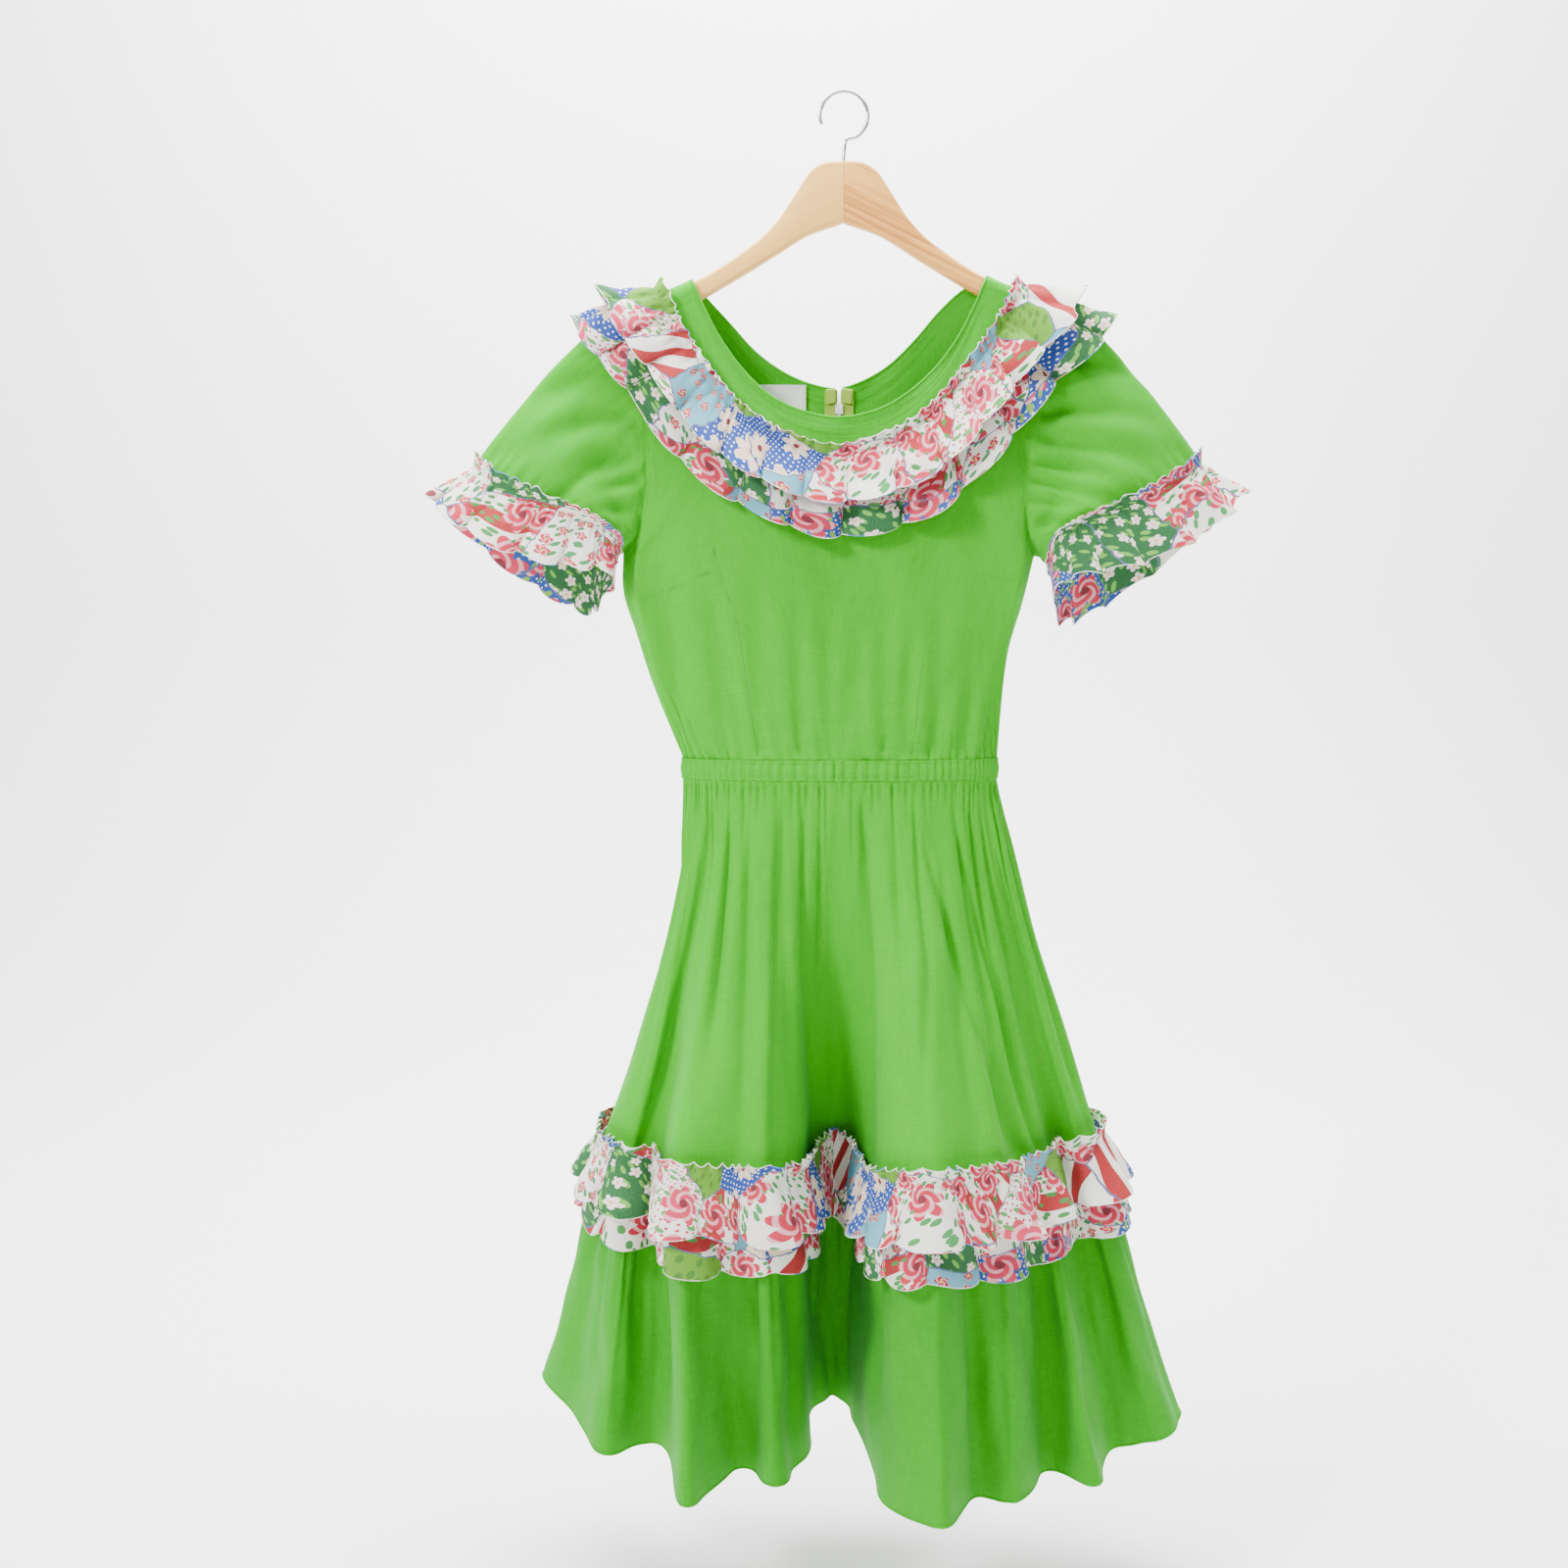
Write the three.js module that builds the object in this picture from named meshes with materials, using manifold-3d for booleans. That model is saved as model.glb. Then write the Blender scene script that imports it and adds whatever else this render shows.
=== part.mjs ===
// A square dance dress on its wooden hanger: gathered bodice, short puffed sleeves, a gored skirt with a
// flounce, and patchwork ruffles round the neck, the sleeve hems and the skirt. Millimetres, +Z up, the
// front faces -Y, and the origin is at the inside top of the hanger's hook, where a rail holds it.
import * as THREE from 'three';
import { mergeVertices } from 'three/addons/utils/BufferGeometryUtils.js';
import Module from 'manifold-3d';

const CLOTH = 1.6; // wall of every sewn piece
const SEAM = 0.3; // gap between two pieces at a seam
const SHOULDER_RADIUS = 10.5; // how the cloth rounds over the hanger's arm
const SHOULDER_COS = 0.88; // cosine of the arm's mean slope
const WAIST = { centre: -2, halfWidth: 147, front: 38, back: 31, top: -602.5, bottom: -622 };
const CASING_GATHERS = 30;
const UPPER_SKIRT = 362; // cloth length from the waist casing to the flounce seam
const SKIRT_LENGTH = 655; // cloth length from the waist casing to the hem
const NECK_RUFFLE = { upperWaves: 26, lowerWaves: 22, heading: 12, upper: 50, lower: 86 };
const SKIRT_RUFFLE = { upperWaves: 34, lowerWaves: 30, heading: 13, upper: 50, lower: 86 };
const SLEEVE_RUFFLE = { waves: 12, heading: 12, length: 56 };
const ZIP = { x: -3, length: 455, tape: 12, halfGap: 1.4, sliderDrop: 17, thickness: 1 };
const LABEL = { x: -57, top: -257, width: 46, height: 32, thickness: 1 };
const HANGER = { thickness: 12, edge: 4.5, end: 204, wire: 1.7, hookRadius: 21.7, boreDepth: 14 };

const COLOURS = {
  green: { color: '#6db64d', roughness: 0.86, metalness: 0 },
  darkGreen: { color: '#59a43d', roughness: 0.86, metalness: 0 },
  patchwork: { color: '#6c7fa6', roughness: 0.9, metalness: 0 },
  wood: { color: '#ecd0a6', roughness: 0.55, metalness: 0 },
  steel: { color: '#c9ccd0', roughness: 0.3, metalness: 1 },
  tape: { color: '#b7c96a', roughness: 0.8, metalness: 0 },
  label: { color: '#f1eee2', roughness: 0.8, metalness: 0 },
};

const group = new THREE.Group();
group.name = 'square_dance_dress_on_hanger';

function add(name, geometry, material) {
  geometry.computeVertexNormals();
  const mesh = new THREE.Mesh(geometry, new THREE.MeshStandardMaterial(COLOURS[material]));
  mesh.name = name;
  group.add(mesh);
}

const lerp = THREE.MathUtils.lerp;
const clamp = THREE.MathUtils.clamp;
const smooth = (t) => THREE.MathUtils.smoothstep(t, 0, 1);
const vec = (x, y, z) => new THREE.Vector3(x, y, z);
const range = (count, from = 0, to = 1) => Array.from({ length: count + 1 }, (_, i) => lerp(from, to, i / count));
const ring = (count) => Array.from({ length: count }, (_, i) => i / count);

// A smooth value read along a table of [position, value] rows, level beyond its ends.
function graph(rows) {
  const slope = (i) => {
    const a = rows[Math.max(i - 1, 0)];
    const b = rows[Math.min(i + 1, rows.length - 1)];
    return (b[1] - a[1]) / (b[0] - a[0]);
  };
  return (x) => {
    if (x <= rows[0][0]) return rows[0][1];
    const last = rows.length - 1;
    if (x >= rows[last][0]) return rows[last][1];
    const i = rows.findIndex((row, k) => k < last && x < rows[k + 1][0]);
    const width = rows[i + 1][0] - rows[i][0];
    const t = (x - rows[i][0]) / width;
    const [a, b] = [rows[i][1], rows[i + 1][1]];
    const [m, n] = [slope(i) * width, slope(i + 1) * width];
    return a + m * t + (3 * (b - a) - 2 * m - n) * t * t + (2 * (a - b) + m + n) * t * t * t;
  };
}

// A smooth curve through rows of [x, y, z].
function path(rows, closed = false) {
  const curve = new THREE.CatmullRomCurve3(rows.map((row) => vec(...row)), closed, 'centripetal');
  return (t) => curve.getPoint(closed ? t : clamp(t, 0, 1));
}

function faceNormal(surface, u, v, limits) {
  const step = 2e-4;
  const du = surface(u + step, v).sub(surface(u - step, v));
  const up = surface(u, Math.min(v + step, limits[1]));
  const dv = up.sub(surface(u, Math.max(v - step, limits[0])));
  return du.cross(dv).normalize();
}

// One piece of cloth: both faces and the cut edges of a surface, as one closed wall.
function wall(surface, us, vs, { closed = false, thickness = CLOTH, normal = null } = {}) {
  const limits = [vs[0], vs[vs.length - 1]];
  const faces = [[], []];
  for (const v of vs) {
    for (const u of us) {
      const n = (normal && normal(u, v)) || faceNormal(surface, u, v, limits);
      const p = surface(u, v);
      faces[0].push(p.clone().addScaledVector(n, thickness / 2));
      faces[1].push(p.clone().addScaledVector(n, -thickness / 2));
    }
  }
  const across = us.length;
  const points = [...faces[0], ...faces[1]];
  const at = (side, i, j) => side * faces[0].length + j * across + (i % across);
  const index = [];
  const quad = (a, b, c, d) => index.push(a, b, c, a, c, d);
  const columns = closed ? across : across - 1;
  for (let j = 0; j < vs.length - 1; j += 1) {
    for (let i = 0; i < columns; i += 1) {
      quad(at(0, i, j), at(0, i + 1, j), at(0, i + 1, j + 1), at(0, i, j + 1));
      quad(at(1, i, j), at(1, i, j + 1), at(1, i + 1, j + 1), at(1, i + 1, j));
    }
  }
  const top = vs.length - 1;
  for (let i = 0; i < columns; i += 1) {
    quad(at(1, i, 0), at(1, i + 1, 0), at(0, i + 1, 0), at(0, i, 0));
    quad(at(0, i, top), at(0, i + 1, top), at(1, i + 1, top), at(1, i, top));
  }
  if (!closed) {
    for (let j = 0; j < top; j += 1) {
      quad(at(1, 0, j), at(0, 0, j), at(0, 0, j + 1), at(1, 0, j + 1));
      quad(at(0, columns, j), at(1, columns, j), at(1, columns, j + 1), at(0, columns, j + 1));
    }
  }
  return outward(points, index);
}

// The same surface with half a seam's gap taken off at the columns where it is cut.
function trimmed(surface, from, to) {
  return (u, v) => {
    const side = u === from ? 1 : u === to ? -1 : 0;
    const p = surface(u, v);
    if (side === 0) return p;
    const along = surface(u + 1e-3, v).sub(surface(u - 1e-3, v)).normalize();
    return p.addScaledVector(along, (side * SEAM) / 2);
  };
}

function outward(points, index) {
  let volume = 0;
  for (let i = 0; i < index.length; i += 3) {
    const [a, b, c] = [points[index[i]], points[index[i + 1]], points[index[i + 2]]];
    volume += a.dot(b.clone().cross(c));
  }
  const order = volume < 0 ? index.map((_, i) => index[i - (i % 3) + 2 - (i % 3)]) : index;
  const geometry = new THREE.BufferGeometry();
  geometry.setAttribute('position', new THREE.Float32BufferAttribute(points.flatMap((p) => [p.x, p.y, p.z]), 3));
  geometry.setIndex(order);
  return geometry;
}

// Body form

const topLine = graph([
  [0, -100], [100, -147], [139, -165.5], [180, -183], [215, -198], [238, -213], [260, -236], [282, -263],
  [304, -293], [326, -320], [345, -345],
]);
const shoulderTurn = (drop) => Math.sqrt(1 - (1 - clamp(drop / SHOULDER_RADIUS, 0, 1)) ** 2);

// How far the cloth stands off the hanger's plane at x, z: front and back are nearly flat, as it hangs.
function depth(x, z, front) {
  const drop = (topLine(Math.abs(x)) - z) * SHOULDER_COS;
  const fall = front ? 15 * smooth(drop / 200) : 13.5 * smooth(drop / 150);
  const bust = front ? 14 * Math.exp(-(((z + 430) / 85) ** 2)) * Math.exp(-(((Math.abs(x) - 70) / 70) ** 2)) : 0;
  return shoulderTurn(drop) * (SHOULDER_RADIUS + fall + bust);
}

// Troughs that rise from the waist: x at the waist, x at the upper end and its height, depth and width.
const bodiceFolds = [
  { waist: -89, end: -124, top: -431, deep: 4.5, wide: 9 },
  { waist: -57, end: -79, top: -436, deep: 3.5, wide: 8 },
  { waist: -37, end: -41, top: -463, deep: 3, wide: 8 },
  { waist: -1, end: 20, top: -436, deep: 4.5, wide: 9 },
  { waist: 50, end: 73, top: -424, deep: 4, wide: 9 },
  { waist: 78, end: 112, top: -488, deep: 3.5, wide: 8 },
  { waist: 108, end: 145, top: -436, deep: 4.5, wide: 9 },
];

// The back has the same troughs a little narrower, but none at the zip.
function bodiceFold(x, z, front) {
  const side = front ? 1 : -0.8;
  let sum = 0;
  for (const fold of bodiceFolds.filter(({ waist }) => front || Math.abs(waist) > 20)) {
    const rise = (z - WAIST.top) / (fold.top - WAIST.top);
    const line = lerp(fold.waist, fold.end, rise) * side;
    const fade = smooth(1 - rise) ** 0.7;
    sum += fold.deep * fade * Math.exp(-(((x - line) / fold.wide) ** 2));
  }
  return sum;
}

const armholes = {
  left: [
    [-203, 0, -413], [-190, 0, -396], [-182, 0, -362], [-181, 0, -322], [-187, 0, -270], [-199, 0, -228],
    [-214, 0, -198],
  ],
  right: [
    [177, 0, -416], [169, 0, -396], [166, 0, -362], [169, 0, -322], [177, 0, -275], [193, 0, -228],
    [214, 0, -198],
  ],
};
const armholeLeft = path(armholes.left);
const armholeRight = path(armholes.right);
const neckFront = path([
  [-139, 0, -165.5], [-130, 0, -186], [-113, 0, -219], [-93, 0, -247], [-67, 0, -272], [-35, 0, -287],
  [-3, 0, -292], [31, 0, -285], [59, 0, -269], [86, 0, -244], [104, 0, -219], [120, 0, -188], [131, 0, -162],
]);
const neckBack = path([
  [-139, 0, -165.5], [-124, 0, -182], [-104, 0, -203], [-79, 0, -229], [-50, 0, -248], [-26, 0, -257],
  [-4, 0, -260], [22, 0, -252], [45, 0, -238], [68, 0, -216], [88, 0, -193], [110, 0, -173], [131, 0, -162],
]);

// The x of a panel's outer edge at height z: the side seam alone, and the seam with the armhole above it.
const edges = (side, armhole) => ({
  seam: graph(side), whole: graph([...side, ...armhole.slice(1).map(([x, , z]) => [z, x])]),
});
const edgesLeft = edges([[-602, -149], [-535, -176], [-485, -192], [-449, -203], [-413, -203]], armholes.left);
const edgesRight = edges([[-602, 145], [-535, 150], [-499, 155], [-458, 167], [-416, 177]], armholes.right);
const ARMHOLE_END = 0.24; // share of the panel's columns that end at one armhole
const SHOULDER_END = 0.34; // and at the armhole and the shoulder seam

// Where the column at share f of a panel ends: on an armhole, the shoulder seam or the neck edge.
function bodiceTop(f, front) {
  const half = f <= 0.5 ? f : 1 - f;
  const armhole = f <= 0.5 ? armholeLeft : armholeRight;
  if (half <= ARMHOLE_END) return armhole(half / ARMHOLE_END);
  const neck = front ? neckFront : neckBack;
  if (half < SHOULDER_END) {
    const along = (half - ARMHOLE_END) / (SHOULDER_END - ARMHOLE_END);
    const x = lerp(armhole(1).x, neck(f <= 0.5 ? 0 : 1).x, along);
    return vec(x, 0, topLine(Math.abs(x)));
  }
  return neck((f - SHOULDER_END) / (1 - 2 * SHOULDER_END));
}

const COLUMN_BOW = 26;
const ARMHOLE_TRIM = 0.2;
const UNDERARM_TRIM = 0.5;
const waistX = (f) => WAIST.centre - WAIST.halfWidth * Math.cos(Math.PI * f);

// A column that ends at the armhole keeps the outer edge's line, and bows in from it so that none cross.
const columnIn = (below) => 1 - (1 - below) ** 8;

function columnX(f, top, rise) {
  const left = f <= 0.5;
  const { seam, whole } = left ? edgesLeft : edgesRight;
  const armEnd = Math.min(f, 1 - f) / ARMHOLE_END;
  const below = clamp(1 - rise, 0, 1);
  const high = smooth(armEnd / 0.8);
  const moved = (z) => lerp(seam(z) - seam(top.z), whole(z) - whole(top.z), high);
  const spread = (waistX(f) - top.x - moved(WAIST.top)) * lerp(smooth(below), columnIn(below), high);
  const reach = COLUMN_BOW * smooth(armEnd) * (1 - 0.4 * smooth(armEnd * 2 - 1));
  const bow = reach * columnIn(below) * (1 - below);
  return top.x + moved(lerp(WAIST.top, top.z, Math.min(rise, 1))) + spread + (left ? bow : -bow);
}

const sideTurn = (half) => Math.sqrt(1 - (1 - Math.min(half / 0.13, 1)) ** 2);

// The bodice as one ring: u 0 is the left side seam, 0.25 the front, 0.5 the right side seam.
function bodice(u, v) {
  const turn = ((u % 1) + 1) % 1;
  const front = turn <= 0.5;
  const f = front ? turn * 2 : 2 - turn * 2;
  const half = Math.min(f, 1 - f);
  const armEnd = half / ARMHOLE_END;
  const below = Math.max(1 - armEnd, 0);
  const trim = 0.002 + ARMHOLE_TRIM * Math.min(1, below * 5) + UNDERARM_TRIM * below ** 6;
  const top = bodiceTop(f, front);
  const rise = v * (1 - trim / (top.z - WAIST.top));
  const z = lerp(WAIST.top, top.z, rise);
  let x = columnX(f, top, rise);
  if (armEnd > 1) {
    const last = f < 0.5 ? ARMHOLE_END : 1 - ARMHOLE_END;
    const lastTop = bodiceTop(last, front);
    const pull = columnX(last, lastTop, rise) - lerp(waistX(last), lastTop.x, rise);
    const fade = clamp((SHOULDER_END - half) / (SHOULDER_END - ARMHOLE_END), 0, 1);
    x = lerp(waistX(f), top.x, rise) + pull * fade;
  }
  const waistDepth = (front ? WAIST.front : WAIST.back) * Math.sin(Math.PI * f);
  const blend = smooth(rise * 1.35);
  const seamTurn = sideTurn(half);
  const body = lerp(waistDepth, depth(x, z, front) * seamTurn, blend);
  const fold = bodiceFold(x, z, front) * Math.min(seamTurn, shoulderTurn(rise * 40));
  return vec(x, (front ? -1 : 1) * (body - fold), z);
}

const shoulderUp = (side) => vec(side * 0.42, 0, 0.91);
const underarmOut = (side) => vec(side * 0.42, 0, -0.91);

// The shared direction of both pieces at the armhole seam; the angle is 0 at the shoulder, PI below.
function armholeNormal(angle, side) {
  const around = Math.cos(angle);
  const edge = around > 0 ? shoulderUp(side) : underarmOut(side);
  return edge.multiplyScalar(Math.abs(around)).add(vec(0, -Math.sin(angle), 0)).normalize();
}

function bodiceNormal(u, v) {
  if (v === 0) {
    const n = faceNormal(bodice, u, v, [0, 1]);
    return n.setZ(0).normalize();
  }
  const front = u <= 0.5;
  const f = front ? u * 2 : 2 - u * 2;
  const armEnd = Math.min(f, 1 - f) / ARMHOLE_END;
  if (v < 1 || armEnd > 1) return null;
  return armholeNormal((front ? 1 : -1) * Math.PI * (1 - armEnd), f < 0.5 ? -1 : 1);
}

const bodiceRows = [0, 0.19, 0.4, 0.6, 0.8, 0.93, 0.973, 0.9868, 0.9965, 1];
const zipStep = 0.002; // half the opening at the centre back, as a share of the way round

function shares(stops) {
  const list = [];
  for (let i = 0; i < stops.length - 1; i += 1) {
    const [from, count] = stops[i];
    list.push(...range(count, from, stops[i + 1][0]).slice(0, -1));
  }
  return [...list, stops[stops.length - 1][0]];
}
const ARMHOLE_COLUMNS = 12;
const panelHalf = [
  [0, ARMHOLE_COLUMNS], [ARMHOLE_END / 2, 3], [SHOULDER_END / 2, 1], [0.1709, 1], [0.1732, 1], [0.1764, 5],
];
const mirrorHalf = (rows) => {
  const left = shares([...rows, [0.25, 1]]);
  return [...left, ...left.slice(0, -1).reverse().map((u) => 0.5 - u)];
};

function bodicePanels() {
  const options = { normal: bodiceNormal };
  const frontColumns = mirrorHalf(panelHalf);
  add('bodice_front', wall(trimmed(bodice, 0, 0.5), frontColumns, bodiceRows, options), 'green');
  const backHalf = shares([...panelHalf, [0.25, 1]]);
  const rightColumns = [...backHalf.slice(0, -1).map((u) => 0.5 + u), 0.75 - zipStep];
  add('bodice_back_right', wall(trimmed(bodice, 0.5, null), rightColumns, bodiceRows, options), 'green');
  const leftColumns = [0.75 + zipStep, ...backHalf.slice(0, -1).map((u) => 1 - u).reverse()];
  add('bodice_back_left', wall(trimmed(bodice, null, 1), leftColumns, bodiceRows, options), 'green');
}
bodicePanels();

// Waist casing

const waistAt = (u, z, out = 0) => {
  const angle = 2 * Math.PI * u;
  const half = Math.sin(angle) >= 0 ? WAIST.front : WAIST.back;
  return vec(WAIST.centre - (WAIST.halfWidth + out) * Math.cos(angle), -(half + out) * Math.sin(angle), z);
};

// The casing is open at the centre back, where the zip passes it.
function waistCasing() {
  const columns = range(CASING_GATHERS * 4, 0.75 + zipStep, 1.75 - zipStep);
  const casing = (u, v) => {
    const gather = 1.1 * Math.cos(2 * Math.PI * CASING_GATHERS * u);
    return waistAt(u, lerp(WAIST.bottom + SEAM / 2, WAIST.top - SEAM, v), 0.8 + gather);
  };
  const level = (u, v) => faceNormal(casing, u, v, [0, 1]).setZ(0).normalize();
  add('waist_casing', wall(casing, columns, [0, 1], { normal: level }), 'green');
}
waistCasing();

// Skirt: each row is a crest or a trough, with its place round the waist, where it lies in plan at the
// flounce seam and at the hem, and the share of the skirt's length over which it hangs straight.
const skirtFolds = [
  { at: -0.01, seam: [-226, 46], hem: [-302, 108], straight: 0.24 },
  { at: 0.025, seam: [-223, 8], hem: [-260, 40], straight: 0.22 },
  { at: 0.055, seam: [-199, -20], hem: [-226, -24], straight: 0.18 },
  { at: 0.085, seam: [-176, -14], hem: [-180, 4], straight: 0.12 },
  { at: 0.11, seam: [-150, -90], hem: [-142, -124], straight: 0.08 },
  { at: 0.145, seam: [-102, -88], hem: [-98, -44], straight: 0.08 },
  { at: 0.175, seam: [-68, -90], hem: [-62, -76], straight: 0.05 },
  { at: 0.2, seam: [-40, -44], hem: [-34, -22], straight: 0.08 },
  { at: 0.222, seam: [-28, 14], hem: [-24, 66], straight: 0.1 },
  { at: 0.242, seam: [-7, 36], hem: [-4, 90], straight: 0.1 },
  { at: 0.262, seam: [18, 16], hem: [16, 44], straight: 0.1 },
  { at: 0.282, seam: [37, -92], hem: [38, -112], straight: 0.06 },
  { at: 0.31, seam: [74, -134], hem: [84, -178], straight: 0.03 },
  { at: 0.34, seam: [112, -118], hem: [122, -108], straight: 0.05 },
  { at: 0.365, seam: [144, -100], hem: [154, -122], straight: 0.08 },
  { at: 0.39, seam: [168, -64], hem: [192, -60], straight: 0.08 },
  { at: 0.41, seam: [188, -44], hem: [230, -98], straight: 0.1 },
  { at: 0.435, seam: [204, -6], hem: [262, -26], straight: 0.06 },
  { at: 0.46, seam: [227, -15], hem: [302, -28], straight: 0.03 },
  { at: 0.5, seam: [248, 16], hem: [335, 16], straight: 0 },
  { at: 0.54, seam: [222, 70], hem: [292, 108], straight: 0 },
  { at: 0.58, seam: [178, 52], hem: [232, 68], straight: 0.02 },
  { at: 0.62, seam: [136, 96], hem: [176, 138], straight: 0.04 },
  { at: 0.66, seam: [94, 64], hem: [118, 82], straight: 0.06 },
  { at: 0.7, seam: [50, 102], hem: [62, 150], straight: 0.04 },
  { at: 0.75, seam: [-1, 84], hem: [-2, 124], straight: 0.05 },
  { at: 0.79, seam: [-50, 104], hem: [-66, 152], straight: 0.06 },
  { at: 0.83, seam: [-96, 68], hem: [-120, 90], straight: 0.08 },
  { at: 0.87, seam: [-138, 100], hem: [-178, 146], straight: 0.1 },
  { at: 0.91, seam: [-174, 74], hem: [-230, 96], straight: 0.16 },
  { at: 0.95, seam: [-202, 78], hem: [-276, 144], straight: 0.2 },
];
const COLUMNS_PER_FOLD = 3;

const foldCount = skirtFolds.length;
const seamPlan = path(skirtFolds.map((row) => [row.seam[0], row.seam[1], 0]), true);
const hemPlan = path(skirtFolds.map((row) => [row.hem[0], row.hem[1], 0]), true);
const aroundWaist = graph([
  ...skirtFolds.map((row, i) => [i / foldCount, row.at]), [1, skirtFolds[0].at + 1],
]);
const straightShare = graph([
  ...skirtFolds.map((row, i) => [i / foldCount, row.straight]), [1, skirtFolds[0].straight],
]);

// The skirt as one ring: u goes round from the left side through the front, and length runs down the cloth.
function skirt(u, length) {
  const turn = ((u % 1) + 1) % 1;
  const from = waistAt(aroundWaist(turn), 0);
  const seam = seamPlan(turn);
  const share = length / UPPER_SKIRT;
  let plan;
  if (share <= 1) {
    const straight = straightShare(turn);
    const t = clamp((share - straight) / (1 - straight), 0, 1);
    plan = from.clone().lerp(seam, t ** 1.12);
  } else {
    plan = seam.clone().lerp(hemPlan(turn), (length - UPPER_SKIRT) / (SKIRT_LENGTH - UPPER_SKIRT));
  }
  const away = plan.distanceTo(from);
  const fall = Math.sqrt(Math.max(length * length - Math.min(away, length * 0.6) ** 2, 0));
  return vec(plan.x, plan.y, WAIST.bottom - SEAM / 2 - fall);
}

function skirtNormal(u, length) {
  const n = skirtFace(u, length);
  return length === 0 ? n.setZ(0).normalize() : n;
}
function skirtFace(u, length) {
  const step = 1e-3;
  const below = skirt(u, Math.min(length + 1, SKIRT_LENGTH));
  const above = skirt(u, Math.max(Math.min(length, SKIRT_LENGTH) - 1, 0));
  const along = skirt(u + step, length).sub(skirt(u - step, length));
  return along.cross(above.sub(below)).normalize();
}

const FRONT_FROM = 2 / foldCount; // the side seams lie in folds, so that they don't show
const FRONT_TO = 20 / foldCount;
const BACK_CENTRE = 25 / foldCount;
const upperRows = [0, 50, 110, 190, 275, UPPER_SKIRT];
const flounceRows = [UPPER_SKIRT + SEAM, 455, 555, SKIRT_LENGTH];

function skirtPanel(name, from, to, rows, material) {
  const count = Math.round((to - from) * foldCount * COLUMNS_PER_FOLD);
  const columns = range(count, from, to);
  const cut = trimmed(skirt, columns[0], columns[count]);
  add(name, wall(cut, columns, rows, { normal: skirtNormal }), material);
}

function skirtPanels() {
  skirtPanel('skirt_front', FRONT_FROM, FRONT_TO, upperRows, 'green');
  skirtPanel('skirt_back_right', FRONT_TO, BACK_CENTRE, upperRows, 'green');
  skirtPanel('skirt_back_left', BACK_CENTRE, 1 + FRONT_FROM, upperRows, 'green');
  skirtPanel('flounce_front', FRONT_FROM, FRONT_TO, flounceRows, 'darkGreen');
  skirtPanel('flounce_back', FRONT_TO, 1 + FRONT_FROM, flounceRows, 'darkGreen');
}
skirtPanels();

// Skirt ruffles, gathered evenly round the seam and kept close to the skirt inside its deep folds

const PLAN_STEPS = 720;
const planSamples = ring(PLAN_STEPS).map((u) => skirt(u, UPPER_SKIRT + 20));
const roomAt = (() => {
  const raw = planSamples.map((p, i) => {
    const before = planSamples[(i + PLAN_STEPS - 5) % PLAN_STEPS];
    const after = planSamples[(i + 5) % PLAN_STEPS];
    const a = p.clone().sub(before).setZ(0);
    const b = after.clone().sub(p).setZ(0);
    const bend = (a.x * b.y - a.y * b.x) / (a.length() * b.length());
    const radius = (a.length() + b.length()) / 2 / Math.max(Math.abs(bend), 1e-3);
    return bend < 0 ? Math.min(1, (0.3 * radius) / 20) : 1;
  });
  return (u) => {
    const centre = Math.round(u * PLAN_STEPS);
    let lowest = 1;
    let sum = 0;
    for (let k = -12; k <= 12; k += 1) {
      const value = raw[(centre + k + PLAN_STEPS * 2) % PLAN_STEPS];
      sum += value;
      lowest = Math.min(lowest, value);
    }
    return (lowest + sum / 25) / 2;
  };
})();
const lengthAlong = (() => {
  const marks = [0];
  planSamples.forEach((p, i) => marks.push(marks[i] + p.distanceTo(planSamples[(i + 1) % PLAN_STEPS])));
  return marks.map((mark) => mark / marks[PLAN_STEPS]);
})();
// The u whose share of the seam's length is s.
function evenly(s) {
  const i = clamp(lengthAlong.findIndex((mark) => mark > s) - 1, 0, PLAN_STEPS - 1);
  return (i + (s - lengthAlong[i]) / (lengthAlong[i + 1] - lengthAlong[i])) / PLAN_STEPS;
}

// Offsets from the skirt at the heading's top, at the stitching and at the lower edge.
function skirtRuffle({ waves, base, tuck, lift, swing, phase, heading, length }) {
  return (s, q) => {
    const turn = ((s % 1) + 1) % 1;
    const u = evenly(turn);
    const room = roomAt(u);
    const wave = Math.cos(2 * Math.PI * waves * turn + phase + 0.8 * Math.sin(2 * Math.PI * 5 * turn));
    const down = q > 0 ? q / length : 0;
    const up = q < 0 ? -q / heading : 0;
    const stand = base - tuck * (1 - room) + room * (lift * down + 3.5 * up);
    const out = stand + room * (swing * down + 2.6 * up) * (0.5 + 0.5 * wave);
    return skirt(u, UPPER_SKIRT + q + 3 * room * down * wave).addScaledVector(skirtFace(u, UPPER_SKIRT + q), out);
  };
}

const layerStep = CLOTH + SEAM;

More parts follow.
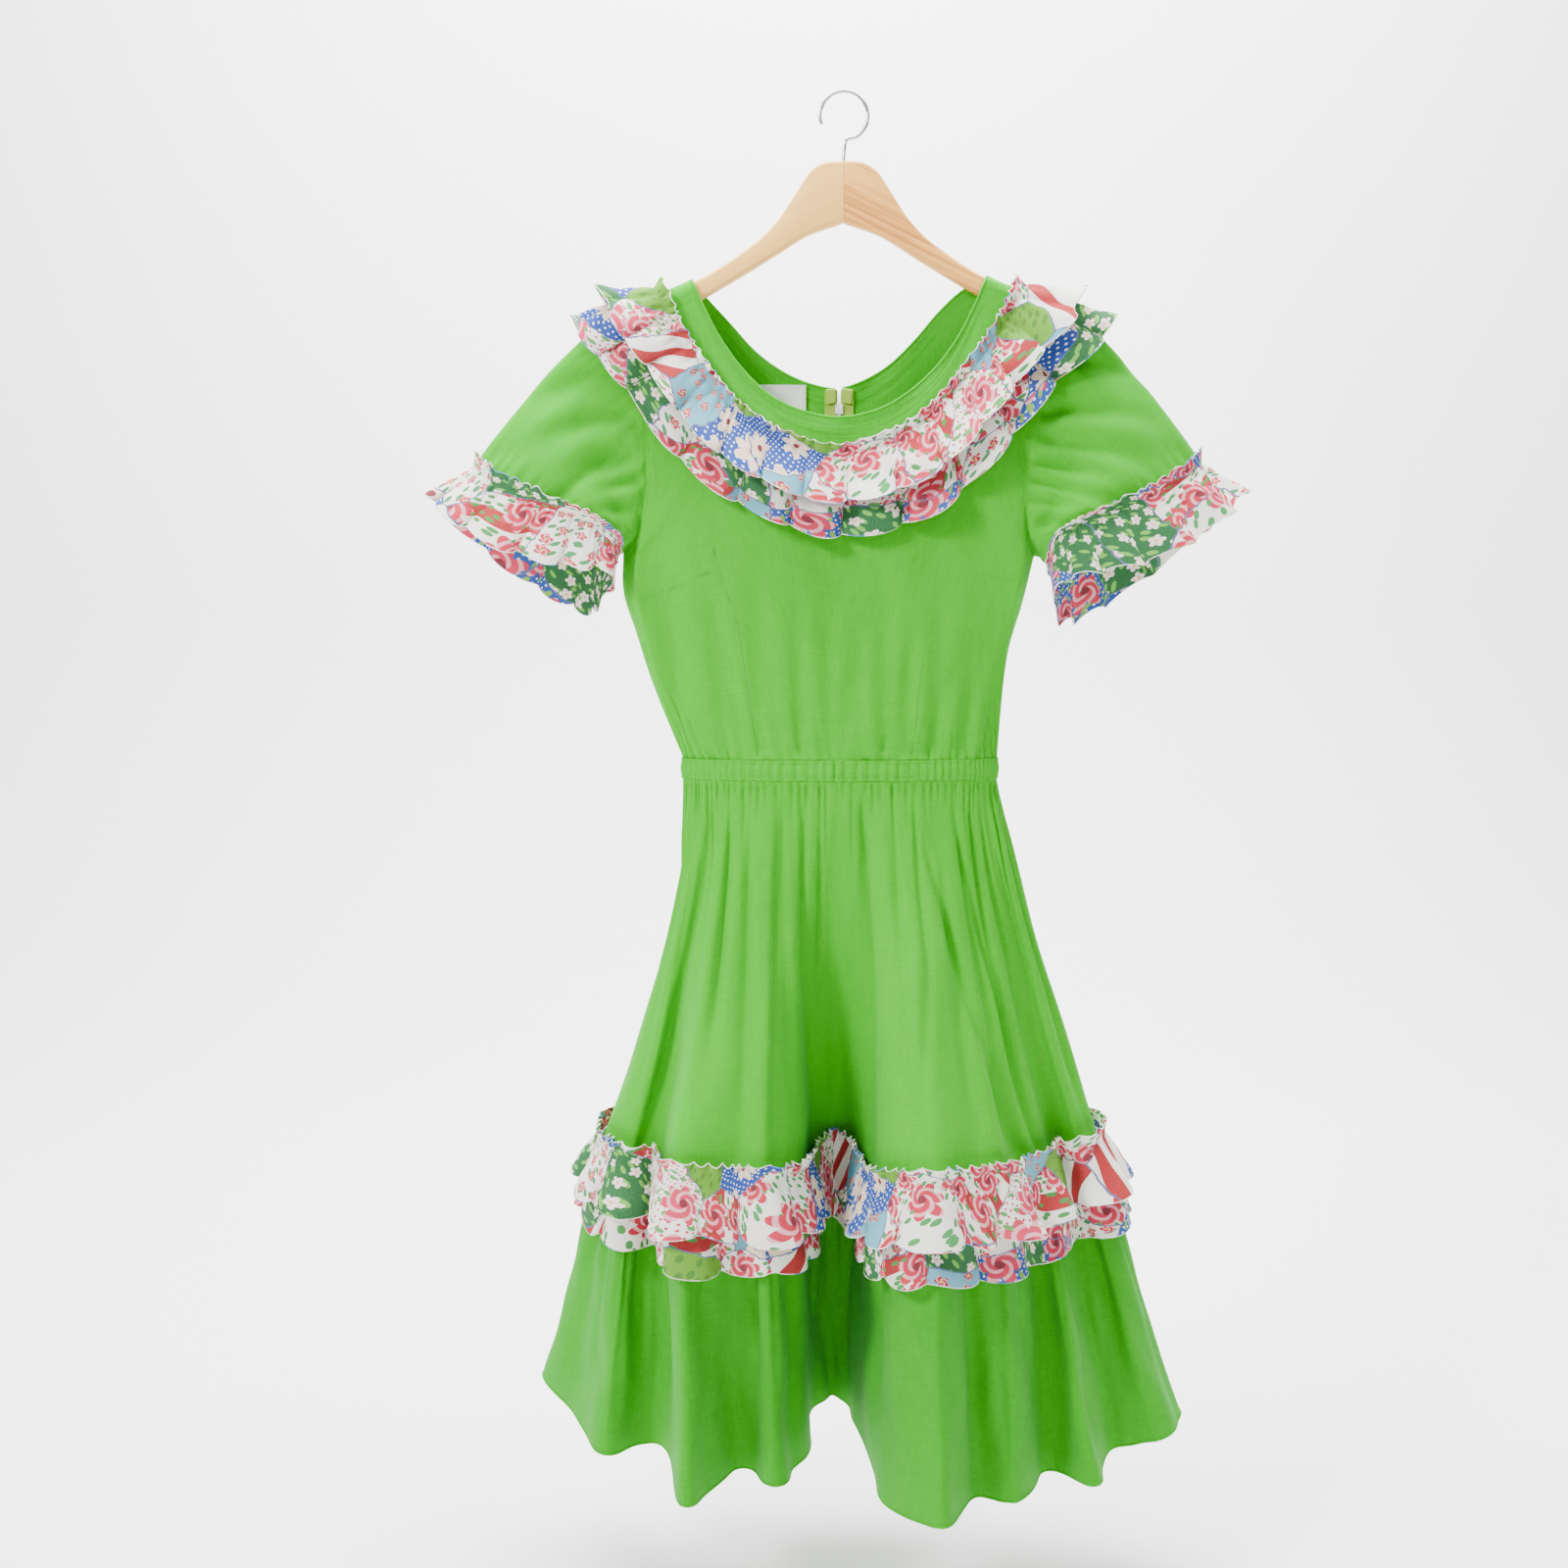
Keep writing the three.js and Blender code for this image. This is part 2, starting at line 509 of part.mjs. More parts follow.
function skirtRuffles() {
  const { heading, upper, lower, upperWaves, lowerWaves } = SKIRT_RUFFLE;
  const under = skirtRuffle({
    waves: lowerWaves, base: layerStep + 2.4, tuck: 0, lift: 3, swing: 7, phase: 1, heading, length: lower,
  });
  const over = skirtRuffle({
    waves: upperWaves, base: 2 * layerStep + 4, tuck: 0.4, lift: 7, swing: 9, phase: 0, heading, length: upper,
  });
  const underRows = [0, lower];
  const overRows = [-heading, 0, upper];
  const limit = (rows) => [rows[0], rows[rows.length - 1]];
  const facing = (surface, rows) => (s, q) => {
    const step = 2e-3;
    const along = surface(s + step, q).sub(surface(s - step, q));
    const [low, high] = limit(rows);
    const down = surface(s, Math.min(q + 2, high)).sub(surface(s, Math.max(q - 2, low)));
    return down.cross(along).normalize();
  };
  add('skirt_ruffle_lower', wall(under, ring(lowerWaves * 4), underRows, {
    closed: true, normal: facing(under, underRows),
  }), 'patchwork');
  add('skirt_ruffle_upper', wall(over, ring(upperWaves * 4), overRows, {
    closed: true, normal: facing(over, overRows),
  }), 'patchwork');
}
skirtRuffles();

// Sleeves: the loop at the hem, from its outer end along the front to the underarm and back behind

const sleeveHems = {
  left: path([
    [-339, 0, -336], [-320, -24, -350], [-288, -34, -365], [-256, -37, -377], [-226, -37, -388],
    [-207, -33, -400], [-211, -19, -418], [-225, 0, -428], [-234, 18, -424], [-258, 30, -406],
    [-288, 32, -384], [-320, 22, -358],
  ], true),
  right: path([
    [329, 0, -333], [310, -24, -348], [280, -34, -364], [248, -37, -378], [216, -37, -388],
    [194, -33, -400], [191, -19, -420], [198, 0, -433], [212, 18, -428], [240, 30, -408],
    [272, 32, -384], [308, 22, -356],
  ], true),
};
const SLEEVE_SIDES = { left: -1, right: 1 };

// Both loops as one tube: turn 0 is the top, 0.25 the front, 0.5 the underarm; along 0 is the armhole.
function sleeve(name) {
  const side = SLEEVE_SIDES[name];
  const armhole = name === 'left' ? armholeLeft : armholeRight;
  const hem = sleeveHems[name];
  return (turn, along) => {
    const around = ((turn % 1) + 1) % 1;
    const front = around <= 0.5;
    const share = front ? around * 2 : 2 - around * 2;
    const root = armhole(1 - share);
    const half = (1 - share) * ARMHOLE_END;
    const y = depth(root.x, root.z, front) * sideTurn(half);
    const start = vec(root.x, front ? -y : y, root.z);
    const end = hem(around);
    const reach = start.distanceTo(end);
    const nudge = (SEAM + 1.2 * share ** 2 + (front ? 0 : 1.4) * share ** 6) / Math.max(reach, 1);
    const t = lerp(nudge, 1, along);
    const swell = Math.sin(Math.PI * t) ** 0.8;
    const angle = 2 * Math.PI * around;
    const cap = Math.max(Math.cos(angle), 0);
    const puff = vec(side * 0.6 * cap, -Math.sin(angle), 0.8 * cap).multiplyScalar(swell * (5 + 3 * cap));
    return start.lerp(end, t).add(puff);
  };
}

function sleeveFace(surface, side, limits) {
  return (turn, along) => {
    if (along === 0) {
      const angle = 2 * Math.PI * turn;
      return armholeNormal(angle, side);
    }
    return faceNormal(surface, turn, along, limits).multiplyScalar(side);
  };
}

const sleeveRows = [0, 0.15, 0.4, 0.7, 1];

// The frill hangs from the sleeve's hem: outwards at the outer end, straight down at the underarm.
function sleeveRuffle(name) {
  const side = SLEEVE_SIDES[name];
  const tube = sleeve(name);
  const { waves, heading, length } = SLEEVE_RUFFLE;
  return (turn, q) => {
    const around = ((turn % 1) + 1) % 1;
    const angle = 2 * Math.PI * around;
    const toUnderarm = (1 - Math.cos(angle)) / 2;
    const out = faceNormal(tube, around, 0.97, [0, 1]).multiplyScalar(side);
    const wave = Math.cos(2 * Math.PI * waves * around + 0.7 * Math.sin(3 * angle));
    const calm = 1 - 0.55 * toUnderarm ** 4;
    const down = Math.max(q, 0) / length;
    const up = Math.max(-q, 0) / heading;
    const fallX = side * lerp(0.76, 0.2, toUnderarm ** 0.7);
    const fall = vec(fallX, -0.12 * Math.sin(angle), -Math.sqrt(1 - fallX * fallX)).normalize();
    const back = tube(around, 0.9).sub(tube(around, 1)).normalize();
    const drop = 0.8 + 0.16 * Math.abs(Math.sin(angle)) - (side < 0 ? 0.42 : 0.24) * toUnderarm ** 2;
    const reach = Math.max(q, 0) * drop;
    const frill = Math.max(-q, 0) * (1 - 0.8 * toUnderarm ** 4);
    const stand = layerStep + 0.5 + calm * (4 * down + 3 * up + (5.5 * down + 2.4 * up) * (0.5 + 0.5 * wave));
    return tube(around, 1)
      .addScaledVector(fall, reach + 2.5 * down * wave)
      .addScaledVector(back, frill)
      .addScaledVector(out, stand);
  };
}

function sleeves() {
  for (const name of ['left', 'right']) {
    const side = SLEEVE_SIDES[name];
    const tube = sleeve(name);
    const face = sleeveFace(tube, side, [0, 1]);
    add(`sleeve_${name}`, wall(tube, ring(2 * ARMHOLE_COLUMNS), sleeveRows, { closed: true, normal: face }), 'green');
    const frill = sleeveRuffle(name);
    const { waves, heading, length } = SLEEVE_RUFFLE;
    const rows = [-heading, 0, length];
    const frillFace = (turn, q) => {
      const along = frill(turn + 4e-3, q).sub(frill(turn - 4e-3, q));
      const down = frill(turn, Math.min(q + 2, length)).sub(frill(turn, Math.max(q - 2, -heading)));
      return along.cross(down).multiplyScalar(side).normalize();
    };
    add(`sleeve_ruffle_${name}`, wall(frill, ring(waves * 5), rows, { closed: true, normal: frillFace }), 'patchwork');
  }
}
sleeves();


// Neck ruffles: the stitching and the lower edge, as x and z, from the left shoulder to the right in
// front, and from the centre back to each shoulder behind
const ruffleFront = [
  { stitch: [-167, -188], edge: [-236, -222] },
  { stitch: [-155, -212], edge: [-217, -243] },
  { stitch: [-134, -243], edge: [-190, -277] },
  { stitch: [-113, -272], edge: [-150, -330] },
  { stitch: [-88, -295], edge: [-108, -363] },
  { stitch: [-55, -314], edge: [-66, -384] },
  { stitch: [-12, -327], edge: [-20, -399] },
  { stitch: [36, -317], edge: [34, -395] },
  { stitch: [76, -294], edge: [84, -377] },
  { stitch: [101, -268], edge: [124, -342] },
  { stitch: [124, -239], edge: [158, -304] },
  { stitch: [144, -211], edge: [192, -262] },
  { stitch: [160, -185], edge: [236, -222] },
];
const ruffleBackLeft = [
  { stitch: [-4, -291], edge: [-4, -377] },
  { stitch: [-30, -287], edge: [-44, -372] },
  { stitch: [-60, -276], edge: [-88, -354] },
  { stitch: [-90, -256], edge: [-130, -324] },
  { stitch: [-118, -231], edge: [-168, -288] },
  { stitch: [-142, -207], edge: [-204, -252] },
  { stitch: [-167, -188], edge: [-236, -222] },
];
const ruffleBackRight = [
  { stitch: [-4, -291], edge: [-4, -377] },
  { stitch: [24, -286], edge: [38, -371] },
  { stitch: [54, -272], edge: [82, -352] },
  { stitch: [84, -250], edge: [124, -321] },
  { stitch: [110, -226], edge: [164, -284] },
  { stitch: [136, -203], edge: [202, -248] },
  { stitch: [160, -185], edge: [236, -222] },
];
const lines = (rows) => ({
  stitch: path(rows.map(({ stitch }) => [stitch[0], 0, stitch[1]])),
  edge: path(rows.map(({ edge }) => [edge[0], 0, edge[1]])),
});
const ruffleLines = { front: lines(ruffleFront), left: lines(ruffleBackLeft), right: lines(ruffleBackRight) };
// Shares of the way round the neck at which the ruffle reaches and leaves each shoulder.
const ROUND = { leftBack: 0.215, leftFront: 0.257, rightFront: 0.743, rightBack: 0.785 };

// A point of the ruffle's bed: a goes round the neck from the centre back by the left shoulder, r is the
// distance down from the stitching, and out is how far it stands off the bodice.
function neckBed(a, r, out) {
  const place = (line, t) => {
    const stitch = line.stitch(t);
    return stitch.clone().lerp(line.edge(t), r / NECK_RUFFLE.lower);
  };
  const flat = (line, t, front) => {
    const p = place(line, t);
    return p.setY((front ? -1 : 1) * (depth(p.x, p.z, front) + out));
  };
  if (a < ROUND.leftBack) return flat(ruffleLines.left, a / ROUND.leftBack, false);
  if (a > ROUND.rightBack) return flat(ruffleLines.right, (1 - a) / (1 - ROUND.rightBack), false);
  if (a >= ROUND.leftFront && a <= ROUND.rightFront) {
    return flat(ruffleLines.front, (a - ROUND.leftFront) / (ROUND.rightFront - ROUND.leftFront), true);
  }
  const side = a < 0.5 ? -1 : 1;
  const back = side < 0 ? ROUND.leftBack : ROUND.rightBack;
  const front = side < 0 ? ROUND.leftFront : ROUND.rightFront;
  const angle = lerp(Math.PI / 2, -Math.PI / 2, (a - back) / (front - back));
  const centre = place(ruffleLines.front, side < 0 ? 0 : 1);
  const reach = SHOULDER_RADIUS + out;
  return centre.addScaledVector(shoulderUp(side), reach * Math.cos(angle)).add(vec(0, reach * Math.sin(angle), 0));
}

function neckRuffle({ waves, base, lift, swing, phase, length }) {
  return (a, r) => {
    const wave = Math.cos(2 * Math.PI * waves * a + phase + 0.9 * Math.sin(2 * Math.PI * 4 * a));
    const down = Math.max(r, 0) / length;
    const up = Math.max(-r, 0) / NECK_RUFFLE.heading;
    const out = base + lift * down + 3 * up + (swing * down + 2.6 * up) * (0.5 + 0.5 * wave);
    return neckBed(a, r + 3 * down * wave, out);
  };
}

function neckRuffles() {
  const { heading, upper, lower, upperWaves, lowerWaves } = NECK_RUFFLE;
  const under = neckRuffle({ waves: lowerWaves, base: layerStep + 1.1, lift: 7, swing: 6, phase: 0.6, length: lower });
  const over = neckRuffle({ waves: upperWaves, base: 2 * layerStep + 2.2, lift: 12, swing: 7, phase: 0, length: upper });
  const ends = [0.0105, 0.9905];
  add('neck_ruffle_lower', wall(under, range(lowerWaves * 4, ...ends), [0, lower * 0.5, lower]), 'patchwork');
  add('neck_ruffle_upper', wall(over, range(upperWaves * 4, ...ends), [-heading, 0, upper]), 'patchwork');
}
neckRuffles();

// Joins and cuts

const wasm = await Module();
wasm.setup();

function solid(geometry) {
  const plain = geometry.index ? geometry.toNonIndexed() : geometry.clone();
  plain.deleteAttribute('normal');
  plain.deleteAttribute('uv');
  const merged = mergeVertices(plain, 1e-4);
  return new wasm.Manifold(new wasm.Mesh({
    numProp: 3, vertProperties: merged.attributes.position.array, triVerts: new Uint32Array(merged.index.array),
  }));
}

function geometryOf(body) {
  const mesh = body.getMesh();
  const geometry = new THREE.BufferGeometry();
  geometry.setAttribute('position', new THREE.BufferAttribute(new Float32Array(mesh.vertProperties), 3));
  geometry.setIndex(Array.from(mesh.triVerts));
  return geometry;
}

function box(width, thick, height, x, y, z) {
  return solid(new THREE.BoxGeometry(width, thick, height).translate(x, y, z));
}

// Neck label and zip, all on the inside of the back panels

function labelPiece() {
  const lift = CLOTH / 2 + SEAM + LABEL.thickness / 2 + 1.32;
  const face = (u, v) => {
    const x = LABEL.x + (u - 0.5) * LABEL.width;
    const z = LABEL.top - (1 - v) * LABEL.height;
    return vec(x, depth(x, z, false) - lift, z);
  };
  const plate = wall(face, range(2), range(2), { thickness: LABEL.thickness });
  add('neck_label', plate, 'label');
}
labelPiece();

// Where the cloth at the centre back lies, at height z, from the neck edge down into the skirt.
function centreBack(z) {
  if (z > WAIST.top) {
    const top = neckBack(0.5).z;
    return bodice(0.75, (z - WAIST.top) / (top - WAIST.top)).y;
  }
  if (z > WAIST.bottom) return WAIST.back;
  return skirt(BACK_CENTRE, WAIST.bottom - z).y;
}
const tapeOffset = CLOTH / 2 + SEAM + ZIP.thickness / 2;
const zipTop = neckBack(0.5).z - 1;

function zipTapes() {
  for (const [name, side] of [['left', -1], ['right', 1]]) {
    const strip = (u, v) => {
      const z = zipTop - ZIP.length * (1 - v);
      const x = ZIP.x + side * (ZIP.halfGap + u * ZIP.tape);
      return vec(x, centreBack(z) - tapeOffset - 0.25, z);
    };
    add(`zip_tape_${name}`, wall(strip, [0, 1], range(12), { thickness: ZIP.thickness }), 'tape');
  }
}
zipTapes();

const sliderZ = neckBack(0.5).z - ZIP.sliderDrop;
const seat = centreBack(sliderZ);
const BAR = { radius: 0.6, y: seat + 3.4, lug: 1.9 };

function zipSlider() {
  const plateBack = seat - tapeOffset - 0.25 - ZIP.thickness / 2 - SEAM;
  const inner = box(7, 1.3, 9, ZIP.x, plateBack - 0.65, sliderZ - 2);
  const web = box(1.8, 4.6, 9, ZIP.x, seat - 1.6, sliderZ - 2);
  const outer = box(5.2, 1.7, 9, ZIP.x, seat + 0.05, sliderZ - 2);
  const lugs = [-1, 1].map((side) => box(0.7, 3.6, 2.4, ZIP.x + side * (BAR.lug + 0.35), seat + 2.4, sliderZ));
  const bar = solid(new THREE.CylinderGeometry(BAR.radius, BAR.radius, 2 * BAR.lug + 1, 10)
    .rotateZ(Math.PI / 2).translate(ZIP.x, BAR.y, sliderZ));
  add('zip_slider', geometryOf(inner.add(web).add(outer).add(lugs[0]).add(lugs[1]).add(bar)), 'steel');
}
zipSlider();

// The pull tab hangs from the slider's bar and folds out and up about it.
function zipPull() {
  const knuckle = solid(new THREE.CylinderGeometry(1.7, 1.7, 3.2, 16).rotateZ(Math.PI / 2));
  const hole = solid(new THREE.CylinderGeometry(0.95, 0.95, 5, 16).rotateZ(Math.PI / 2));
  const neck = box(3.2, 1.1, 4.4, 0, 0, -3);
  const outline = new THREE.Shape();
  outline.moveTo(-1.6, -3.6);
  outline.lineTo(-2.8, -5.5);
  outline.lineTo(-2.8, -16);
  outline.absarc(0, -16, 2.8, Math.PI, 2 * Math.PI, false);
  outline.lineTo(2.8, -5.5);
  outline.lineTo(1.6, -3.6);
  const slot = new THREE.Path();
  slot.absarc(0, -15.6, 1.3, 0, 2 * Math.PI, true);
  outline.holes.push(slot);
  const tab = solid(new THREE.ExtrudeGeometry(outline, { depth: 1.1, bevelEnabled: false, curveSegments: 6 })
    .rotateX(Math.PI / 2).translate(0, 0.55, 0));
  const body = knuckle.add(neck).add(tab).subtract(hole).translate([ZIP.x, BAR.y, sliderZ]);
  add('zip_pull', geometryOf(body), 'steel');
}
zipPull();

// Hanger: two wooden halves, joined at the centre, and a wire hook set in their joint

const woodTop = [[0, -60], [18, -61.5], [30, -69], [42, -86], [58, -110], [74, -127], [94, -142], [114, -155]];
const woodBottom = [[195, -217], [178, -208], [127, -182], [90, -161], [62, -144], [34, -127], [0, -115]];

function hangerOutline() {
  const covered = [126, 139, 160, 180, 198].map((x) => [x, topLine(x) - 2.3]);
  const end = [[HANGER.end - 2, topLine(HANGER.end) - 5], [HANGER.end, -206], [HANGER.end - 3, -214]];
  const half = [...woodTop, ...covered, ...end, ...woodBottom];
  const shape = new THREE.Shape(half.map(([x, z]) => new THREE.Vector2(x, z)));
  const other = half.slice(1, -1).reverse();
  for (const [x, z] of other) shape.lineTo(-x, z);
  return shape;
}

function hanger() {
  const { thickness, edge, wire, boreDepth } = HANGER;
  const whole = solid(new THREE.ExtrudeGeometry(hangerOutline(), {
    depth: thickness - 2 * edge, bevelThickness: edge, bevelSize: edge, bevelOffset: -edge, bevelSegments: 2,
  }).translate(0, 0, edge - thickness / 2).rotateX(Math.PI / 2));
  const top = woodTop[0][1];
  const bore = solid(new THREE.CylinderGeometry(wire + 0.5, wire + 0.5, 2 * boreDepth, 12)
    .rotateX(Math.PI / 2).translate(0, 0, top));
  for (const [name, side] of [['left', -1], ['right', 1]]) {
    const keep = box(300, 60, 300, side * (150 + SEAM / 2), 0, -120);
    add(`hanger_${name}`, geometryOf(whole.intersect(keep).subtract(bore)), 'wood');
  }
  const { hookRadius } = HANGER;
  const centre = -hookRadius + wire;
  const stem = [[0, top - boreDepth + 0.6], [0, top - 4], [0, top + 4], [2.5, centre - hookRadius + 0.6]];
  const turns = range(14, -0.33 * Math.PI, 1.12 * Math.PI)
    .map((angle) => [hookRadius * Math.cos(angle), centre + hookRadius * Math.sin(angle)]);
  const route = new THREE.CatmullRomCurve3([...stem, ...turns].map(([x, z]) => vec(x, 0, z)), false, 'centripetal');
  const section = new THREE.Shape().absarc(0, 0, wire, 0, 2 * Math.PI);
  const hook = new THREE.ExtrudeGeometry(section, { steps: 32, extrudePath: route, curveSegments: 4 });
  add('hanger_hook', geometryOf(solid(hook)), 'steel');
}
hanger();

export default group;
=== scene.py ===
# The looks of a square dance dress on its wooden hanger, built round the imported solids.
# Shapes are worked out in millimetres and turned to metres where a mesh is made. +Z is up, -Y is the front.
import math

import bpy
import numpy as np
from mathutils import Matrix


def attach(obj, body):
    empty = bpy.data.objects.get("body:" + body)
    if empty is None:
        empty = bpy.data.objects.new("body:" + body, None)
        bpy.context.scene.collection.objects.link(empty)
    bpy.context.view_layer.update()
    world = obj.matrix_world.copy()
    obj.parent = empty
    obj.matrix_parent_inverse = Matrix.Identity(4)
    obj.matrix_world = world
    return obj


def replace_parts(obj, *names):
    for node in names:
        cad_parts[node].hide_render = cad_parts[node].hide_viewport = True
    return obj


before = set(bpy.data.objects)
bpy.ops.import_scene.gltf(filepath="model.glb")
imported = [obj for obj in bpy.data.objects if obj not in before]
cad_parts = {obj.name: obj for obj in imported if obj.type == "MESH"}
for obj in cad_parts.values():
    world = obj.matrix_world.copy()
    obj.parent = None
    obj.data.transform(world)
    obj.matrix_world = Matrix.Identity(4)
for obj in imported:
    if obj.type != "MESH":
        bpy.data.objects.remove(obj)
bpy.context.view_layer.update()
bpy.ops.object.select_all(action="DESELECT")
MM = 0.001

# Camera: a little above the waist, 1.6 m in front and looking slightly down, as the photograph was taken.
CAMERA_PLACE, CAMERA_LENS, CAMERA_TILT = (-0.0543, -1.6, -0.4809), 39.3, 5.25
camera_data = bpy.data.cameras.new("camera")
camera_data.lens = CAMERA_LENS
camera = bpy.data.objects.new("camera", camera_data)
camera.location = CAMERA_PLACE
camera.rotation_euler = (math.radians(90 - CAMERA_TILT), 0, 0)
bpy.context.collection.objects.link(camera)
bpy.context.scene.camera = camera

# Floor: a pale paper sweep, flat under the dress and curved up into a wall behind it.
FLOOR_DROP, FLOOR_SIZE, WALL_DISTANCE, WALL_HEIGHT, SWEEP_RADIUS = 1.42, 9.0, 2.6, 5, 1.0


def linear(hex_colour):
    """An sRGB hex colour as Blender's linear RGBA."""
    parts = [int(hex_colour[i : i + 2], 16) / 255 for i in (1, 3, 5)]
    return [c / 12.92 if c <= 0.04045 else ((c + 0.055) / 1.055) ** 2.4 for c in parts] + [1]


def put(tree, kind, inputs=None, **settings):
    """Adds a shader node. An input is a value, a socket, or a node whose first output is meant."""
    node = tree.nodes.new("ShaderNode" + kind)
    for name, value in settings.items():
        setattr(node, name, value)
    for key, value in (inputs or {}).items():
        if isinstance(value, bpy.types.Node):
            value = value.outputs[0]
        if isinstance(value, bpy.types.NodeSocket):
            tree.links.new(value, node.inputs[key])
        else:
            node.inputs[key].default_value = value
    return node


def material(name):
    """A new material with an empty node tree and its output."""
    made = bpy.data.materials.new(name)
    made.use_nodes = True
    made.node_tree.nodes.clear()
    return made, made.node_tree


def at_back(edge, low):
    """Whether an edge of the floor lies at its back and, if low is true, at floor height."""
    ends = [floor.data.vertices[i].co for i in edge.vertices]
    return all(end.y > 0 and (end.z < 0.1 or not low) for end in ends)


floor_middle = WALL_DISTANCE - FLOOR_SIZE / 2
bpy.ops.mesh.primitive_plane_add(size=FLOOR_SIZE, location=(0, floor_middle, -FLOOR_DROP))
floor = bpy.context.object
floor.name = "floor"
bpy.ops.object.mode_set(mode="EDIT")
bpy.ops.mesh.select_mode(type="EDGE")
bpy.ops.mesh.select_all(action="DESELECT")
bpy.ops.object.mode_set(mode="OBJECT")
for edge in floor.data.edges:
    edge.select = at_back(edge, False)
bpy.ops.object.mode_set(mode="EDIT")
bpy.ops.mesh.extrude_region_move(TRANSFORM_OT_translate={"value": (0, 0, WALL_HEIGHT)})
bpy.ops.object.mode_set(mode="OBJECT")
for edge in floor.data.edges:
    edge.select = at_back(edge, True)
bpy.ops.object.mode_set(mode="EDIT")
bpy.ops.mesh.bevel(offset=SWEEP_RADIUS, segments=16, affect="EDGES")
bpy.ops.object.mode_set(mode="OBJECT")
bpy.ops.object.shade_smooth()
paper, tree = material("matt_backdrop_paper")
fibre = put(tree, "TexNoise", {"Scale": 3.0, "Detail": 3.0})
tone = put(tree, "Mix", {0: fibre, 6: linear("#f6f6f5"), 7: linear("#fbfbfa")}, data_type="RGBA")
coat = put(tree, "BsdfPrincipled", {
    "Base Color": tone.outputs[2], "Roughness": 0.95, "Specular IOR Level": 0.1,
})
put(tree, "OutputMaterial", {"Surface": coat})
floor.data.materials.append(paper)
bpy.ops.object.transform_apply(location=True)

# Lights: a soft light high on the left, a weaker one in front, one for the backdrop and one from behind.
for light_name, place, aim, size, watts in [
    ("key_light", (-1.8, -1.5, 0.9), (0, 0, -0.42), 0.6, 98),
    ("fill_light", (0.5, -2.7, 0.3), (0, 0, -0.5), 1.0, 15),
    ("wall_light", (0, 0.7, 2.2), (0, 2.6, -0.8), 3.0, 600),
    ("back_light", (1.7, 1.7, 0.7), (0, 0, -0.6), 0.6, 25),
]:
    lamp = bpy.data.lights.new(light_name, "AREA")
    lamp.size = size
    lamp.energy = watts
    lamp_object = bpy.data.objects.new(light_name, lamp)
    lamp_object.location = place
    direction = np.array(aim) - np.array(place)
    flat_reach = math.hypot(direction[0], direction[1])
    lamp_object.rotation_euler = (
        math.atan2(flat_reach, -direction[2]),
        0,
        math.atan2(-direction[0], direction[1]),
    )
    bpy.context.collection.objects.link(lamp_object)
world = bpy.data.worlds.new("white_room")
world.use_nodes = True
background = world.node_tree.nodes["Background"]
background.inputs["Color"].default_value = (1, 1, 1, 1)
background.inputs["Strength"].default_value = 0.3
bpy.context.scene.world = world

# Green cotton: a plain-woven, matt dress cotton with a few thicker threads (slubs), which show as short
# streaks along the grain. It is thin enough to let some light through, so that its shadows stay green.


def thin_cloth(tree, colour, relief, thin, coat):
    """Ends a cloth's material: its matt coat and, by the share thin, the light that comes through."""
    front = put(tree, "BsdfPrincipled", {"Base Color": colour, "Normal": relief, **coat})
    through = put(tree, "BsdfTranslucent", {"Color": colour, "Normal": relief})
    both = put(tree, "MixShader", {0: thin, 1: front, 2: through})
    put(tree, "OutputMaterial", {"Surface": both})


def cotton(name, light, dark, streaks):
    """The cotton in two close tones of its dye; streaks is how strongly its slubs show."""
    made, tree = material(name)
    weave = put(tree, "UVMap", uv_map="cloth")
    warp = put(tree, "Mapping", {"Vector": weave, "Scale": (1 / 0.0011, 1 / 0.03, 1)})
    weft = put(tree, "Mapping", {"Vector": weave, "Scale": (1 / 0.022, 1 / 0.0012, 1)})
    slub_up = put(tree, "TexNoise", {"Vector": warp, "Scale": 1.0, "Detail": 2.0})
    slub_across = put(tree, "TexNoise", {"Vector": weft, "Scale": 1.0, "Detail": 2.0})
    threads = put(tree, "Math", {0: slub_up, 1: slub_across}, operation="ADD")
    # The crumple left by wear and washing: soft dents 15 to 40 mm across.
    dents = put(tree, "TexNoise", {"Vector": weave, "Scale": 1 / 0.035, "Detail": 2.5, "Roughness": 0.45})
    cloud = put(tree, "TexNoise", {"Vector": weave, "Scale": 1 / 0.16, "Detail": 2.0})
    spread = put(tree, "MapRange", {0: threads, 1: 0.75, 2: 1.25, 3: -streaks, 4: streaks})
    share = put(tree, "MapRange", {0: cloud, 1: 0.3, 2: 0.7, 3: 0.35, 4: 0.65})
    blend = put(tree, "Math", {0: share, 1: spread}, operation="ADD", use_clamp=True)
    dye = put(tree, "Mix", {0: blend, 6: linear(light), 7: linear(dark)}, data_type="RGBA")
    fine = put(tree, "Bump", {"Height": threads, "Strength": 0.25, "Distance": 0.0004})
    bump = put(tree, "Bump", {"Height": dents, "Strength": 0.5, "Distance": 0.004, "Normal": fine})
    thin_cloth(tree, dye.outputs[2], bump, 0.1, {
        "Roughness": 0.85, "Specular IOR Level": 0.15, "Sheen Weight": 0.04, "Sheen Roughness": 0.5,
    })
    return made


dress_cotton = cotton("plain_woven_green_cotton", "#43b81a", "#35a910", 0.4)
# The flounce and its hem get the same cotton in darker tones: painted shade on the lower skirt.
flounce_cotton_painted_shade = cotton("plain_woven_green_cotton_painted_shade", "#36a315", "#29920c", 0.4)

